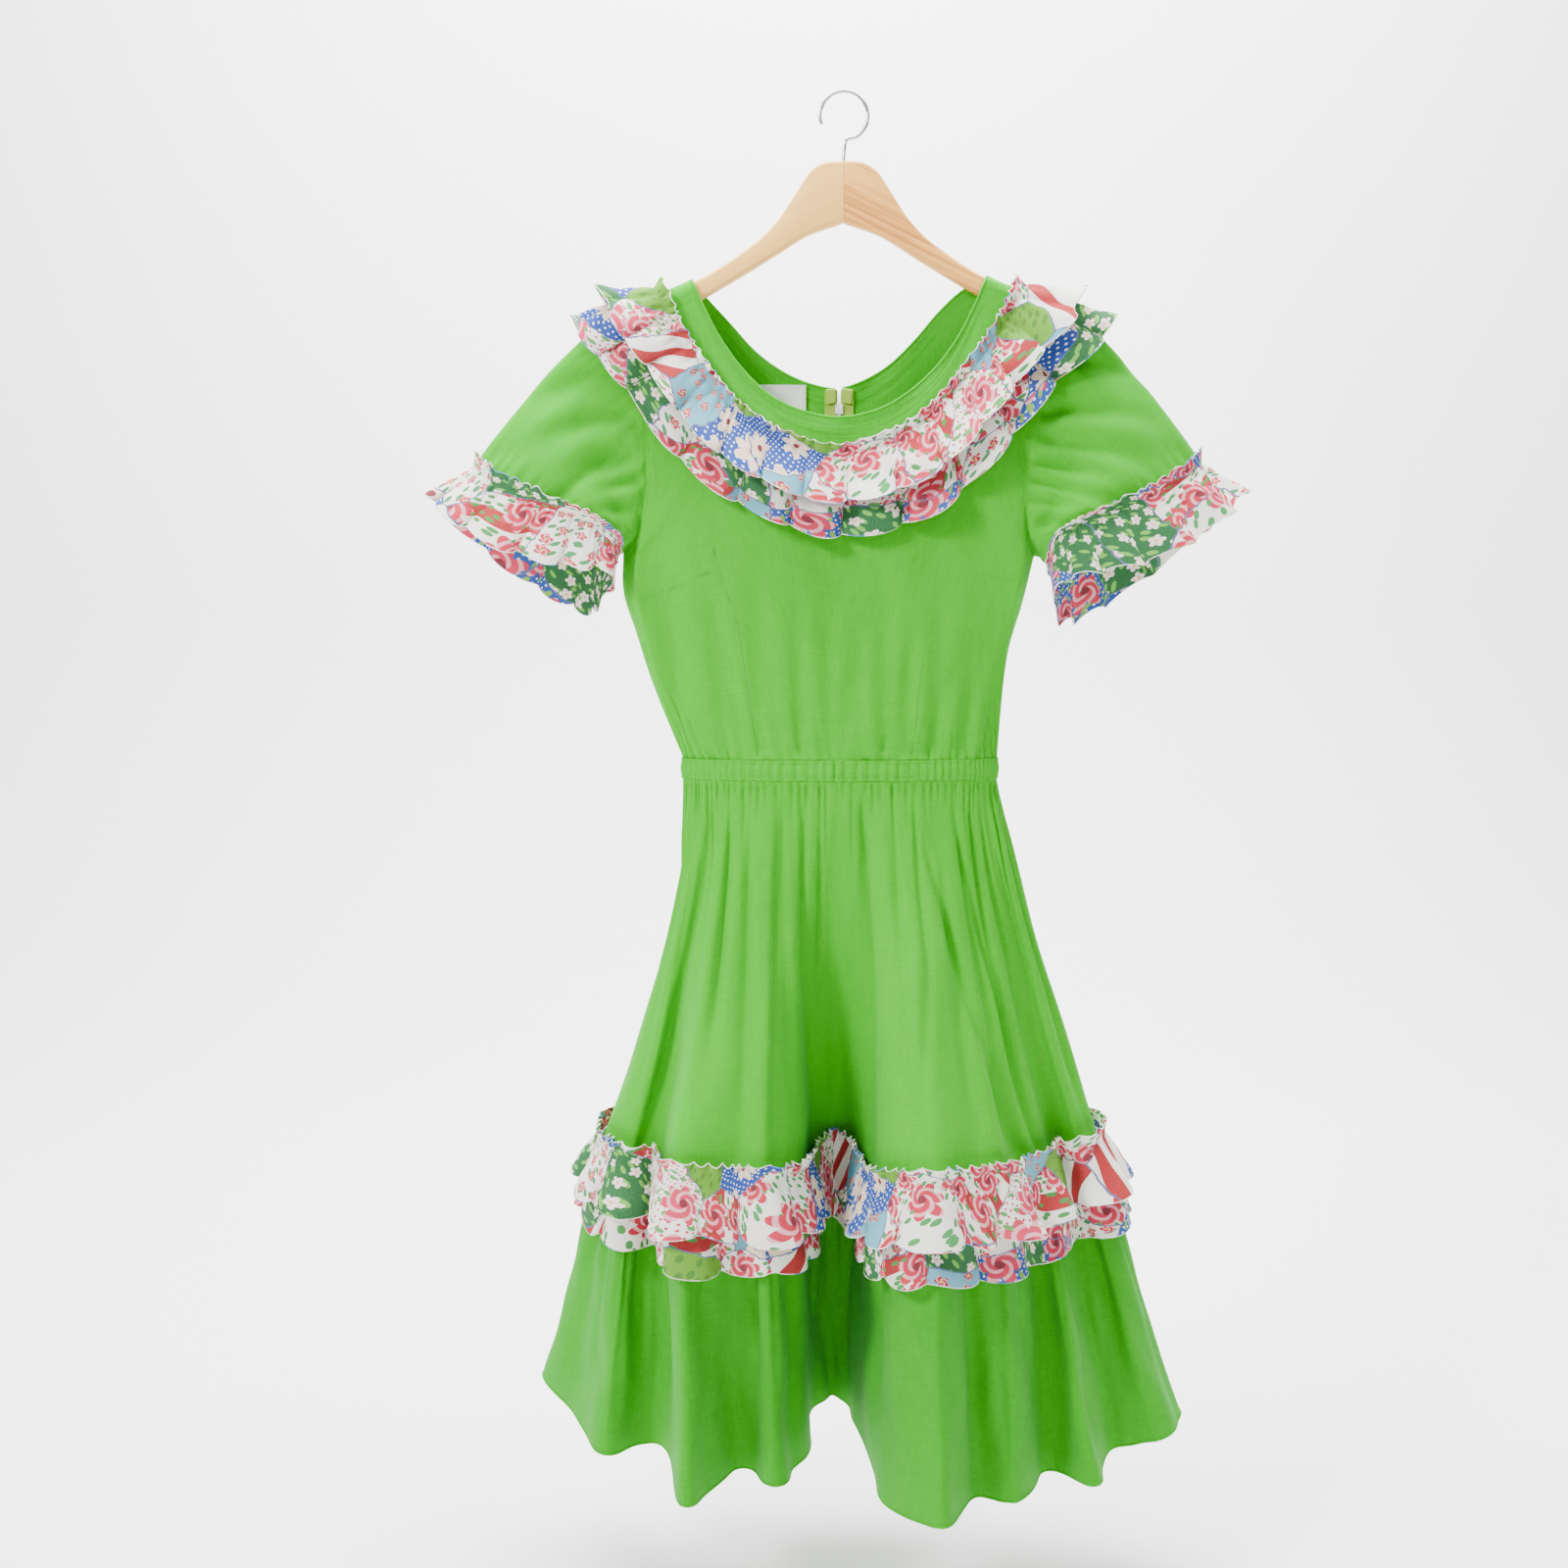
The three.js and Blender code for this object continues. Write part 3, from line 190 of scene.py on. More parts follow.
# Bodice front and backs: three panels of the green cotton, seamed at the sides and shoulders, drawn in by
# the elastic at the waist, with bust darts in front. The folds rise from the waist and fade at the bust.
# The solid's wall, the gap between solids, and the walls of the thin shells made here.
CLOTH, SEAM, SHELL, VOILE_SHELL, LABEL_SHELL = 1.6, 0.3, 0.7, 0.5, 0.35
SHOULDER_RADIUS, SHOULDER_COS = 10.5, 0.88
WAIST_CENTRE, WAIST_HALF, WAIST_FRONT, WAIST_BACK = -2, 147, 38, 31
WAIST_TOP, WAIST_BOTTOM = -602.5, -622
ZIP_X, NECK_BACK_Z = -3, -260
ARMHOLE_END, SHOULDER_END = 0.24, 0.34


def graph(rows):
    """A smooth value read along a table of (position, value) rows, level beyond its ends."""
    xs, ys = (np.array(column, float) for column in zip(*rows))
    last = len(xs) - 1
    before, after = np.maximum(np.arange(last + 1) - 1, 0), np.minimum(np.arange(last + 1) + 1, last)
    slope = (ys[after] - ys[before]) / (xs[after] - xs[before])

    def read(x):
        x = np.clip(np.asarray(x, float), xs[0], xs[-1])
        i = np.clip(np.searchsorted(xs, x, side="right") - 1, 0, last - 1)
        width = xs[i + 1] - xs[i]
        t = (x - xs[i]) / width
        a, b, m, n = ys[i], ys[i + 1], slope[i] * width, slope[i + 1] * width
        return a + m * t + (3 * (b - a) - 2 * m - n) * t**2 + (2 * (a - b) + m + n) * t**3

    return read


def path(rows, closed=False):
    """A smooth curve (centripetal Catmull-Rom) through rows of points, read at 0 to 1."""
    p = np.array(rows, float)
    spans = len(p) if closed else len(p) - 1
    if closed:
        p = np.vstack([p[-1], p, p[:2]])
    else:
        p = np.vstack([2 * p[0] - p[1], p, 2 * p[-1] - p[-2]])
    gap = (np.linalg.norm(np.diff(p, axis=0), axis=1) ** 0.5)[:, None]

    def read(t):
        where = (np.asarray(t, float) % 1 if closed else np.clip(np.asarray(t, float), 0, 1)) * spans
        i = np.clip(np.floor(where), 0, spans - 1).astype(int)
        w = (where - i)[..., None]
        p0, p1, p2, p3 = p[i], p[i + 1], p[i + 2], p[i + 3]
        d0, d1, d2 = gap[i], gap[i + 1], gap[i + 2]
        m = ((p1 - p0) / d0 - (p2 - p0) / (d0 + d1) + (p2 - p1) / d1) * d1
        n = ((p2 - p1) / d1 - (p3 - p1) / (d1 + d2) + (p3 - p2) / d2) * d1
        return p1 + m * w + (3 * (p2 - p1) - 2 * m - n) * w**2 + (2 * (p1 - p2) + m + n) * w**3

    return read


def mix(a, b, t):
    """a at t 0, b at t 1 and a straight line between."""
    return a + (b - a) * t


def smooth(t):
    """0 below t 0, 1 above t 1 and a smooth step between."""
    t = np.clip(t, 0, 1)
    return t * t * (3 - 2 * t)


def bell(t):
    """1 at t 0, falling to nearly 0 at t 2 on both sides."""
    return np.exp(-t * t)


def xyz(x, y, z):
    """Points from three numbers or grids."""
    return np.stack(np.broadcast_arrays(*(np.asarray(c, float) for c in (x, y, z))), -1)


def ruche(s, count, seed):
    """An uneven row of about count gathers round a length of 1: crests at 1, narrow troughs at 0."""
    rng = np.random.default_rng(seed)
    wander = sum(
        rng.uniform(0.25, 0.7) * np.sin(2 * np.pi * (k * s + rng.uniform())) for k in (3, 7, 11, 17)
    )
    slow = np.sin(2 * np.pi * (5 * s + rng.uniform()))
    size = 0.75 + 0.25 * slow * np.sin(2 * np.pi * (13 * s + rng.uniform()))
    return size * np.abs(np.cos(np.pi * count * s + wander)) ** 0.8


def crumple(x, y, wave, seed):
    """Soft uneven dents about wave mm across, between about -1 and 1."""
    rng = np.random.default_rng(seed)
    total = 0
    for _ in range(9):
        angle, length = rng.uniform(0, 2 * np.pi), wave * rng.uniform(0.6, 1.8)
        run = (x * math.cos(angle) + y * math.sin(angle)) / length
        total = total + np.sin(2 * np.pi * (run + rng.uniform())) / 3
    return total


def facing(points, closed):
    """The unit normal at each point of a grid."""
    if closed:
        around = np.roll(points, -1, axis=1) - np.roll(points, 1, axis=1)
    else:
        around = np.gradient(points, axis=1)
    normal = np.cross(around, np.gradient(points, axis=0))
    return normal / np.maximum(np.linalg.norm(normal, axis=-1, keepdims=True), 1e-9)


def new_piece(name, points, faces):
    """A new object, alone selected and active, from points in millimetres and faces."""
    mesh = bpy.data.meshes.new(name)
    mesh.from_pydata((np.asarray(points, float).reshape(-1, 3) * MM).tolist(), [], faces)
    piece = bpy.data.objects.new(name, mesh)
    bpy.context.collection.objects.link(piece)
    bpy.ops.object.select_all(action="DESELECT")
    piece.select_set(True)
    bpy.context.view_layer.objects.active = piece
    return piece


def finish_piece(piece, colour):
    """Gives the new, still selected piece its material, shading, body and material slot."""
    piece.data.materials.append(colour)
    bpy.ops.object.shade_smooth_by_angle(angle=math.radians(60))
    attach(piece, "garment")
    return piece


def sheet(name, points, flat, colour, closed=False, shell=SHELL, start=0.0):
    """One piece of cloth from a grid of points. flat is its cut width and length, which the UV map keeps."""
    rows, columns = points.shape[:2]
    across = columns if closed else columns - 1
    j, i = np.meshgrid(np.arange(rows - 1), np.arange(across), indexing="ij")
    corners = np.stack([
        j * columns + i, j * columns + (i + 1) % columns,
        (j + 1) * columns + (i + 1) % columns, (j + 1) * columns + i,
    ], -1).reshape(-1, 4)
    piece = new_piece(name, points, corners.tolist())
    u = np.stack([i, i + 1, i + 1, i], -1) / across * flat[0] * MM + start
    v = np.stack([j, j, j + 1, j + 1], -1) / (rows - 1) * -flat[1] * MM
    layer = piece.data.uv_layers.new(name="cloth")
    layer.data.foreach_set("uv", np.stack([u, v], -1).reshape(-1).astype(np.float32))
    wall = piece.modifiers.new("wall", "SOLIDIFY")
    wall.thickness = shell * MM
    wall.offset = 0
    bpy.ops.object.modifier_apply(modifier="wall")
    return finish_piece(piece, colour)


def stand_in(piece, node, flat, held, rests_on, **area):
    """Hides the solid that a cloth piece shows; flat, held, rests_on and area are not used."""
    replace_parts(piece, node)


top_line = graph([
    (0, -100), (100, -147), (139, -165.5), (180, -183), (215, -198), (238, -213), (260, -236), (282, -263),
    (304, -293), (326, -320), (345, -345),
])
# Troughs that rise from the waist: x at the waist, x at the upper end and its height, depth and width.
BODICE_FOLDS = [
    (-89, -124, -431, 4.5, 9), (-57, -79, -436, 3.5, 8), (-37, -41, -463, 3, 8), (-1, 20, -436, 4.5, 9),
    (50, 73, -424, 4, 9), (78, 112, -488, 3.5, 8), (108, 145, -436, 4.5, 9),
]
ARMHOLE_LEFT = [
    (-203, -413), (-190, -396), (-182, -362), (-181, -322), (-187, -270), (-199, -228), (-214, -198),
]
ARMHOLE_RIGHT = [(177, -416), (169, -396), (166, -362), (169, -322), (177, -275), (193, -228), (214, -198)]
armhole_left, armhole_right = path(ARMHOLE_LEFT), path(ARMHOLE_RIGHT)
neck_front = path([
    (-139, -165.5), (-130, -186), (-113, -219), (-93, -247), (-67, -272), (-35, -287), (-3, -292), (31, -285),
    (59, -269), (86, -244), (104, -219), (120, -188), (131, -162),
])
neck_back = path([
    (-139, -165.5), (-124, -182), (-104, -203), (-79, -229), (-50, -248), (-26, -257), (-4, -260), (22, -252),
    (45, -238), (68, -216), (88, -193), (110, -173), (131, -162),
])
SIDE_LEFT = [(-602, -149), (-535, -176), (-485, -192), (-449, -203), (-413, -203)]
SIDE_RIGHT = [(-602, 145), (-535, 150), (-499, 155), (-458, 167), (-416, 177)]
side_left, side_right = graph(SIDE_LEFT), graph(SIDE_RIGHT)
edge_left = graph(SIDE_LEFT + [(z, x) for x, z in ARMHOLE_LEFT[1:]])
edge_right = graph(SIDE_RIGHT + [(z, x) for x, z in ARMHOLE_RIGHT[1:]])


def shoulder_turn(drop):
    """The cloth's round turn over the hanger, by how far it has dropped below its top line."""
    return np.sqrt(1 - (1 - np.clip(drop / SHOULDER_RADIUS, 0, 1)) ** 2)


def side_turn(half):
    """The round turn at a side seam, by the share of the panel from it."""
    return np.sqrt(1 - (1 - np.minimum(half / 0.13, 1)) ** 2)


def depth(x, z, front):
    """How far the cloth stands off the hanger's plane: front and back hang nearly flat."""
    drop = (top_line(np.abs(x)) - z) * SHOULDER_COS
    fall = np.where(front, 15 * smooth(drop / 200), 13.5 * smooth(drop / 150))
    bust = np.where(front, 14 * bell((z + 430) / 85) * bell((np.abs(x) - 70) / 70), 0)
    return shoulder_turn(drop) * (SHOULDER_RADIUS + fall + bust)


def bodice_fold(x, z, front):
    """The depth of the large folds that the solid has too."""
    total = 0
    for waist, end, top, deep, wide in BODICE_FOLDS:
        rise = (z - WAIST_TOP) / (top - WAIST_TOP)
        line = mix(waist, end, rise) * np.where(front, 1, -0.8)
        shown = np.where(front | (abs(waist) > 20), 1, 0)
        total = total + shown * deep * smooth(1 - rise) ** 0.7 * bell((x - line) / wide)
    return total


def bodice_top(f, front):
    """Where the column at share f of a panel ends: an armhole, the shoulder seam or the neck edge."""
    half = np.minimum(f, 1 - f)
    left = f <= 0.5
    arm = np.where(left[..., None], armhole_left(half / ARMHOLE_END), armhole_right(half / ARMHOLE_END))
    along = (half - ARMHOLE_END) / (SHOULDER_END - ARMHOLE_END)
    x = mix(np.where(left, -214, 214), np.where(left, -139, 131), np.clip(along, 0, 1))
    shoulder = np.stack([x, top_line(np.abs(x))], -1)
    share = (f - SHOULDER_END) / (1 - 2 * SHOULDER_END)
    neck = np.where(front[..., None], neck_front(share), neck_back(share))
    below = (half < SHOULDER_END)[..., None]
    return np.where((half <= ARMHOLE_END)[..., None], arm, np.where(below, shoulder, neck))


def waist_x(f):
    """Where the column at share f of a panel starts at the waist."""
    return WAIST_CENTRE - WAIST_HALF * np.cos(np.pi * f)


def column_in(below):
    """How much of the way in a column has come below an armhole: nearly all of it at once."""
    return 1 - (1 - below) ** 8


def column_x(f, top, rise):
    """A column that ends at the armhole keeps the outer edge's line, and bows in from it."""
    left = f <= 0.5
    arm_end = np.minimum(f, 1 - f) / ARMHOLE_END
    below = np.clip(1 - rise, 0, 1)
    high = smooth(arm_end / 0.8)
    top_x, top_z = top[..., 0], top[..., 1]

    def moved(z):
        by_seam = np.where(left, side_left(z) - side_left(top_z), side_right(z) - side_right(top_z))
        by_edge = np.where(left, edge_left(z) - edge_left(top_z), edge_right(z) - edge_right(top_z))
        return mix(by_seam, by_edge, high)

    spread = (waist_x(f) - top_x - moved(WAIST_TOP)) * mix(smooth(below), column_in(below), high)
    reach = 26 * smooth(arm_end) * (1 - 0.4 * smooth(arm_end * 2 - 1))
    bow = reach * column_in(below) * (1 - below)
    return top_x + moved(mix(WAIST_TOP, top_z, np.minimum(rise, 1))) + spread + np.where(left, bow, -bow)


def bodice(u, v):
    """The bodice as one ring: u 0 is the left side seam, 0.25 the front, 0.5 the right side seam."""
    u, v = np.broadcast_arrays(np.asarray(u, float) % 1, np.asarray(v, float))
    front = u <= 0.5
    f = np.where(front, u * 2, 2 - u * 2)
    half = np.minimum(f, 1 - f)
    arm_end = half / ARMHOLE_END
    inside = np.maximum(1 - arm_end, 0)
    trim = 0.002 + np.where(arm_end < 1, 0.2 * np.minimum(1, inside * 5) + 0.5 * inside**6, 0)
    top = bodice_top(f, front)
    rise = v * (1 - trim / (top[..., 1] - WAIST_TOP))
    z = mix(WAIST_TOP, top[..., 1], rise)
    last = np.where(f < 0.5, ARMHOLE_END, 1 - ARMHOLE_END)
    last_top = bodice_top(last, front)
    pull = column_x(last, last_top, rise) - mix(waist_x(last), last_top[..., 0], rise)
    fade = np.clip((SHOULDER_END - half) / (SHOULDER_END - ARMHOLE_END), 0, 1)
    inner = mix(waist_x(f), top[..., 0], rise) + pull * fade
    x = np.where(arm_end > 1, inner, column_x(f, top, rise))
    waist_depth = np.where(front, WAIST_FRONT, WAIST_BACK) * np.sin(np.pi * f)
    seam_turn = side_turn(half)
    body = mix(waist_depth, depth(x, z, front) * seam_turn, smooth(rise * 1.35))
    fold = bodice_fold(x, z, front) * np.minimum(seam_turn, shoulder_turn(rise * 40))
    return xyz(x, np.where(front, -1, 1) * (body - fold), z)


# Each panel has this many short gathers above the elastic. The backs part at the zip, ZIP_TURN of the way
# round, by ZIP_STEP on each side. The rows of points stand closer at the waist and along the upper edge.
WAIST_GATHERS = 46
ZIP_TURN, ZIP_STEP = 0.75, 0.002
bodice_rows = np.concatenate([
    np.linspace(0, 0.12, 24), np.linspace(0.13, 0.93, 54), np.linspace(0.935, 1, 18),
])

# Dart seams in front, as x and z: two that come in from the side seams and two that rise from the waist.
DARTS = [
    [(-184, -456), (-151, -444), (-119, -430)], [(156, -439), (134, -435), (112, -430)],
    [(-119, -410), (-108, -446), (-97, -480), (-87, -546), (-78, -602)], [(72, -514), (67, -562), (62, -602)],
]

# Soft folds between bust and waist: x at the top and at the waist, z of the top, depth and width.
SOFT_FOLDS = {
    "bodice_front": [
        (-160, -152, -400, 3, 9), (-126, -106, -440, 2.6, 8), (-84, -76, -395, 3.6, 10),
        (-46, -38, -390, 3, 8), (-16, -12, -410, 3.4, 9), (14, 16, -440, 2.2, 7), (36, 38, -392, 3.6, 9),
        (62, 60, -450, 2.6, 7), (90, 84, -400, 3.6, 10), (122, 112, -430, 2.6, 8), (156, 134, -420, 3.4, 9),
    ],
    "bodice_back_right": [(40, 34, -400, 3, 9), (78, 70, -440, 2.6, 8), (112, 104, -390, 3.2, 10),
                          (146, 130, -430, 2.6, 8)],
    "bodice_back_left": [(-38, -34, -410, 3, 9), (-72, -66, -430, 2.6, 8), (-108, -98, -395, 3.2, 10),
                         (-150, -134, -420, 2.6, 9)],
}


def from_line(x, z, line):
    """How far each point lies from a line of points in the panel's plane."""
    nearest = np.full(x.shape, 1e9)
    for (ax, az), (bx, bz) in zip(line, line[1:]):
        t = np.clip(((x - ax) * (bx - ax) + (z - az) * (bz - az)) / ((bx - ax) ** 2 + (bz - az) ** 2), 0, 1)
        nearest = np.minimum(nearest, np.hypot(x - mix(ax, bx, t), z - mix(az, bz, t)))
    return nearest


def bodice_panel(name, start, end, columns, flat, area, seed):
    """One panel of the bodice, from start to end round it, with its gathers, folds, puckers and darts."""
    t = np.linspace(0, 1, columns)
    us = mix(start, end, mix(t, (1 - np.cos(np.pi * t)) / 2, 0.35))
    u, v = np.meshgrid(us, bodice_rows)
    points = bodice(u, v)
    x, z = points[..., 0], points[..., 2]
    f = np.where(u % 1 <= 0.5, (u % 1) * 2, 2 - (u % 1) * 2)
    half = np.minimum(f, 1 - f)
    rng = np.random.default_rng(seed)
    relief = 0
    height = z - WAIST_TOP
    for k in range(WAIST_GATHERS):
        at = 0.03 + 0.94 * (k + rng.uniform(-0.35, 0.35)) / WAIST_GATHERS
        reach, deep, wide = rng.choice([14, 24, 48, 95]), rng.uniform(1.0, 2.4), rng.uniform(0.0032, 0.0058)
        lean = rng.uniform(-0.01, 0.01) * height / 60
        relief = relief - deep * smooth(1 - height / reach) * bell((f - at - lean) / wide)
    calm = smooth(height / 6) * smooth(half / 0.04) * smooth((1 - v) / 0.03)
    relief = relief * smooth(half / 0.03) + calm * 0.9 * crumple(x, z * 0.45, 60, seed)
    # Puckers where the sleeve is set in, and short strains from the armhole towards the bust.
    sleeve_side = bell((half / ARMHOLE_END - 0.5) / 0.4) * (half < ARMHOLE_END * 1.2)
    sleeve_side = sleeve_side * smooth((v - 0.82) / 0.1) * smooth((1 - v) / 0.02)
    relief = relief + sleeve_side * (ruche(half * 4, 26, seed + 2) - 0.5)
    for x_top, x_waist, z_top, deep, wide in SOFT_FOLDS[name]:
        share = np.clip(height / (z_top - WAIST_TOP), 0, 1)
        gap = (x - mix(x_waist, x_top, share)) / (wide * (0.7 + 0.6 * share))
        run = smooth((1 - share) / 0.55) * smooth(height / 10)
        relief = relief - deep * run * bell(gap) * smooth(half / 0.05)
    if name == "bodice_front":
        for line in DARTS:
            gap = from_line(x, z, line)
            relief = relief - 0.9 * bell(gap / 1.7) + 0.7 * bell(gap / 9)
    else:
        relief = relief * smooth((np.abs(x - ZIP_X) - 12) / 16)
    points = points + facing(points, False) * relief[..., None]
    piece = sheet(f"{name}_cloth", points, flat, dress_cotton)
    stand_in(piece, name, flat, "hung", ["hanger_left", "hanger_right"], area=area)
    return points, half[0]


panels = {
    name: bodice_panel(f"bodice_{name}", start, end, columns, flat, area, seed)
    for name, start, end, columns, flat, area, seed in (
        ("front", 0.0, 0.5, 206, (440, 445), 0.142, 11),
        ("back_right", 0.5, ZIP_TURN - ZIP_STEP, 94, (225, 445), 0.072, 12),
        ("back_left", ZIP_TURN + ZIP_STEP, 1.0, 94, (225, 445), 0.072, 13),
    )
}
front_panel, front_half = panels["front"]

# Waist casing: a narrow band of the same cotton stitched down over elastic. It draws both edges into
# uneven gathers, tight in the middle of the front and looser near the side seams, and is open at the zip.
CASING_GATHERS = 30


def turn_gap(u, at):
    """The signed way from at to u round a ring."""
    return (u - at + 0.5) % 1 - 0.5


def waist_at(u, z, out=0.0):
    """A point of the waist's ring at height z, out from it."""
    angle = 2 * np.pi * np.asarray(u, float)
    half = np.where(np.sin(angle) >= 0, WAIST_FRONT, WAIST_BACK)
    return xyz(
        WAIST_CENTRE - (WAIST_HALF + out) * np.cos(angle), -(half + out) * np.sin(angle), z
    )


u, v = np.meshgrid(np.linspace(ZIP_TURN + ZIP_STEP, ZIP_TURN + 1 - ZIP_STEP, 540), np.linspace(0, 1, 13))
tight = 0.55 + 0.45 * bell((((u - 0.17) % 1) - 0.02) / 0.2)
rib = tight * (ruche(u, 3.2 * CASING_GATHERS, 5) - 0.55)
band = np.sin(np.pi * v) ** 0.5
stitched = bell((v - 0.2) / 0.07) + bell((v - 0.8) / 0.07)
off_zip = smooth((np.abs(turn_gap(u, ZIP_TURN)) - 0.012) / 0.02)
stand = 0.9 + 3.0 * rib * off_zip * (0.45 + 0.55 * band) - 0.7 * stitched + 0.7 * band
z = mix(WAIST_BOTTOM + SEAM / 2, WAIST_TOP - SEAM, v) + 0.5 * rib * (2 * v - 1)
casing = sheet("waist_casing_cloth", waist_at(u, z, stand), (760, 22), dress_cotton)
casing_grid = waist_at(u, z, stand + 0.5)
stand_in(casing, "waist_casing", (760, 22), "gathered", ["bodice_front"])

# Skirt: front and two backs, cut full and flared, gathered into the casing, with the zip at the centre
# back. The flounce below is a wider strip of the cotton gathered onto its edge, with a turned hem.
UPPER_SKIRT, SKIRT_LENGTH = 362, 655
# Each row is a crest or a trough: its place round the waist, where it lies at the flounce seam and at the
# hem, and the share of the skirt's length over which it hangs straight.
SKIRT_FOLDS = [
    (-0.01, (-226, 46), (-302, 108), 0.24), (0.025, (-223, 8), (-260, 40), 0.22),
    (0.055, (-199, -20), (-226, -24), 0.18), (0.085, (-176, -14), (-180, 4), 0.12),
    (0.11, (-150, -90), (-142, -124), 0.08), (0.145, (-102, -88), (-98, -44), 0.08),
    (0.175, (-68, -90), (-62, -76), 0.05), (0.2, (-40, -44), (-34, -22), 0.08),
    (0.222, (-28, 14), (-24, 66), 0.1), (0.242, (-7, 36), (-4, 90), 0.1), (0.262, (18, 16), (16, 44), 0.1),
    (0.282, (37, -92), (38, -112), 0.06), (0.31, (74, -134), (84, -178), 0.03),
    (0.34, (112, -118), (122, -108), 0.05), (0.365, (144, -100), (154, -122), 0.08),
    (0.39, (168, -64), (192, -60), 0.08), (0.41, (188, -44), (230, -98), 0.1),
    (0.435, (204, -6), (262, -26), 0.06), (0.46, (227, -15), (302, -28), 0.03),
    (0.5, (248, 16), (335, 16), 0),
    (0.54, (222, 70), (292, 108), 0), (0.58, (178, 52), (232, 68), 0.02), (0.62, (136, 96), (176, 138), 0.04),
    (0.66, (94, 64), (118, 82), 0.06), (0.7, (50, 102), (62, 150), 0.04), (0.75, (-1, 84), (-2, 124), 0.05),
    (0.79, (-50, 104), (-66, 152), 0.06), (0.83, (-96, 68), (-120, 90), 0.08),
    (0.87, (-138, 100), (-178, 146), 0.1), (0.91, (-174, 74), (-230, 96), 0.16),
    (0.95, (-202, 78), (-276, 144), 0.2),
]
FOLDS = len(SKIRT_FOLDS)
FRONT_FROM, FRONT_TO, BACK_CENTRE = 2 / FOLDS, 20 / FOLDS, 25 / FOLDS
waist_places, seam_places, hem_places, straight_shares = zip(*SKIRT_FOLDS)
seam_plan, hem_plan = path(seam_places, closed=True), path(hem_places, closed=True)
around_waist = graph([(i / FOLDS, at) for i, at in enumerate(waist_places + (waist_places[0] + 1,))])
straight_share = graph([(i / FOLDS, at) for i, at in enumerate(straight_shares + straight_shares[:1])])


def skirt(u, length):
    """The skirt as one ring: u goes round from the left side by the front, length runs down the cloth."""
    turn, length = np.broadcast_arrays(np.asarray(u, float) % 1, np.asarray(length, float))
    start = waist_at(around_waist(turn), 0)[..., :2]
    seam, hem = seam_plan(turn), hem_plan(turn)
    straight = straight_share(turn)
    t = np.clip((length / UPPER_SKIRT - straight) / (1 - straight), 0, 1)
    below = (length - UPPER_SKIRT) / (SKIRT_LENGTH - UPPER_SKIRT)
    plan = np.where((length <= UPPER_SKIRT)[..., None], mix(start, seam, (t**1.12)[..., None]),
                    mix(seam, hem, below[..., None]))
    away = np.linalg.norm(plan - start, axis=-1)
    fall = np.sqrt(np.maximum(length**2 - np.minimum(away, length * 0.6) ** 2, 0))
    return xyz(plan[..., 0], plan[..., 1], WAIST_BOTTOM - SEAM / 2 - fall)


def skirt_face(u, length):
    """The skirt's unit normal, outward."""
    along = skirt(u + 1e-3, length) - skirt(u - 1e-3, length)
    above, below = np.maximum(np.minimum(length, SKIRT_LENGTH) - 1, 0), np.minimum(length + 1, SKIRT_LENGTH)
    normal = np.cross(along, skirt(u, above) - skirt(u, below))
    return normal / np.linalg.norm(normal, axis=-1, keepdims=True)


# Secondary folds of the upper skirt: place round the ring, top and bottom of its run, drift, depth, width.
SKIRT_CREASES = [
    (0.098, 0, 250, 0.006, 3.2, 0.0055), (0.128, 0, 300, -0.002, 2.6, 0.0045),
    (0.152, 15, 362, 0, 3.4, 0.006),
    (0.19, 0, 330, 0.004, 2.4, 0.0045), (0.212, 0, 240, 0, 2.8, 0.004), (0.272, 0, 280, 0, 3.2, 0.0045),
    (0.3, 20, 362, 0.004, 2.8, 0.006), (0.325, 0, 210, 0, 2.2, 0.004), (0.351, 60, 362, 0.002, 3.6, 0.007),
    (0.378, 0, 362, 0.003, 3.4, 0.005), (0.4, 0, 300, 0, 2.6, 0.0045), (0.422, 0, 362, 0.004, 3, 0.005),
    (0.452, 0, 260, 0.004, 2.6, 0.005), (0.48, 20, 362, 0, 3, 0.006), (0.56, 0, 330, 0.004, 3, 0.006),
    (0.6, 10, 300, 0, 2.6, 0.005), (0.64, 0, 362, 0.002, 3.2, 0.006), (0.68, 0, 280, 0, 2.8, 0.005),
    (0.722, 0, 362, 0.002, 2.6, 0.005), (0.77, 20, 330, 0, 3, 0.006), (0.81, 0, 362, 0.002, 3.2, 0.006),
    (0.85, 0, 280, 0, 2.6, 0.005), (0.89, 0, 362, 0.002, 3, 0.006), (0.93, 0, 300, 0, 2.8, 0.006),
    (0.975, 0, 362, 0.002, 3, 0.006),
]
# Deeper folds, in the same columns, but placed by the skirt's own turns and not by the waist's.
FRONT_FOLDS = [
    (0.112, 0, 362, -0.036, 7, 0.009), (0.152, 10, 330, -0.016, 4, 0.007),
    (0.207, 0, 362, -0.006, 6.5, 0.007),
    (0.335, 40, 362, 0.004, 6, 0.007), (0.405, 20, 362, 0.08, 6, 0.008), (0.47, 50, 362, 0.045, 7, 0.008),
    (0.408, 130, 362, -0.03, 4, 0.008), (0.56, 20, 362, 0.01, 5, 0.008), (0.27, 10, 250, 0, 4, 0.006),
    (0.68, 10, 362, 0.01, 5, 0.009), (0.83, 0, 362, -0.01, 5.5, 0.009), (0.91, 20, 362, 0.012, 5, 0.009),
    (0.97, 0, 330, 0.01, 4, 0.008),
]
gather_rng = np.random.default_rng(31)


def uneven_row(count, reaches, depths, widths):
    """Gathers round the ring, unevenly spaced: each one's place, reach down, depth and width."""
    return [
        ((k + gather_rng.uniform(-0.3, 0.3)) / count, gather_rng.choice(reaches),
         gather_rng.uniform(*depths), gather_rng.uniform(*widths))
        for k in range(count)
    ]


